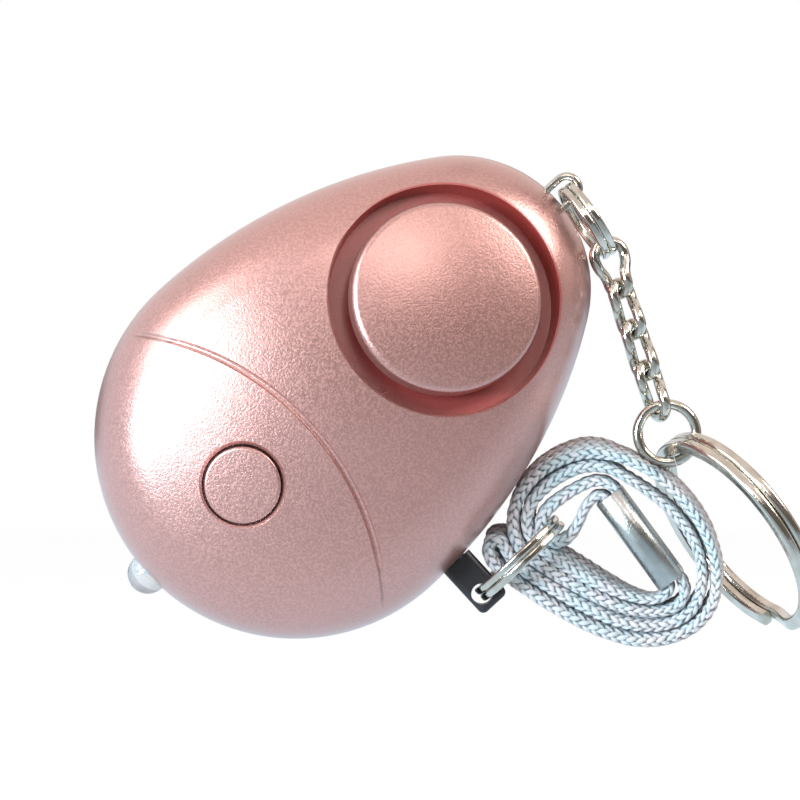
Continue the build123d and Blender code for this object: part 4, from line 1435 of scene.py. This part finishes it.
    def build(self) -> bpy.types.Object:
        """Returns:
            The strap.
        """
        low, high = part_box("wrist_strap")
        braid = Braid(width=high.y - low.y - self.edge_room)
        line, travel = self.spaced(self.smooth_line(), braid.stitch_pitch / braid.samples_a_pitch)
        lift = self.lift(line, travel)
        line = line + lift / 2
        level = np.sqrt(np.clip(braid.width**2 - (lift**2).sum(1), 0, None))
        wide = unit(lift + np.stack([0 * level, level, 0 * level], 1))
        thick = unit(np.cross(unit(np.gradient(line, axis=0)), wide))

        places, outward = braid.section(braid.u)
        stitch = braid.stitches(*np.meshgrid(braid.u, travel))
        sink = braid.relief * (1 - stitch["crown"])
        squeeze = 1 - (1 - self.crimp_squeeze) * self.in_crimp(line)
        local_w = places[None, :, 0] - outward[None, :, 0] * sink
        local_t = (places[None, :, 1] - outward[None, :, 1] * sink) * squeeze[:, None]
        points = line[:, None] + wide[:, None] * local_w[..., None] + thick[:, None] * local_t[..., None]
        points = self.pushed_clear(points.reshape(-1, 3), self.obstacles())

        faces = tube_faces(len(line), braid.count)
        piece = mesh_piece("braided_strap", points, faces, "strap", Slot.BRAID)
        self.store(piece, stitch, (local_w / braid.width + 0.5).ravel())
        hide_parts("wrist_strap")
        BraidYarn("braid_yarn").dress(piece)
        LOG.info("strap: %.1f mm long, %d faces", travel[-1] / MM, len(faces))
        self.declare()
        return piece

    def obstacles(self) -> list[BVHTree]:
        """The solids that the strap lies against.

        Returns:
            Their search trees.
        """
        single = [[name] for name in ("pull_pin", "jump_ring", "pin_split_ring", "key_ring")]
        groups = [["front_shell", "rear_shell"], *single]
        return [surface_of([self.nodes[name] for name in group]) for group in groups]

    def store(
        self, piece: bpy.types.Object, stitch: dict[str, np.ndarray], depth_share: np.ndarray
    ) -> None:
        """Keep the stitches' heights and places on the mesh for the yarn's finish.

        Args:
            piece: The strap.
            stitch: Heights, tones and places of the stitches.
            depth_share: 0 at the strap's front edge and 1 at its back edge.
        """
        values = {"crown": stitch["crown"], "stitch_tone": stitch["tone"], "depth_share": depth_share}
        for name, value in values.items():
            attribute = piece.data.attributes.new(name, "FLOAT", "POINT")
            attribute.data.foreach_set("value", value.ravel().astype(np.float32))
        yarn = np.stack([stitch["along"].ravel(), stitch["across"].ravel(), 0 * depth_share], 1)
        attribute = piece.data.attributes.new("yarn", "FLOAT_VECTOR", "POINT")
        attribute.data.foreach_set("vector", yarn.astype(np.float32).ravel())

    def declare(self) -> None:
        """Make and dress the sleeve that clamps the strap.
        """
        sleeve = self.crimp.build()


def main() -> None:
    """Build the alarm's looks round its frame."""
    logging.basicConfig(level=logging.INFO, format="%(message)s")
    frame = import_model()
    cad_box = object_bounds()
    nodes = frame["nodes"]
    grain, marks = make_grain_group(), make_handling_group()
    studio = Studio()
    studio.add_camera()
    WristStrap(nodes, Crimp(marks)).build()
    Casing(nodes, grain).build()
    Insides(nodes, grain, marks).build()
    Chain(nodes, marks).build()
    PullPin(nodes, grain).build()
    studio.build(cad_box[0].z)


if __name__ == "__main__":
    main()
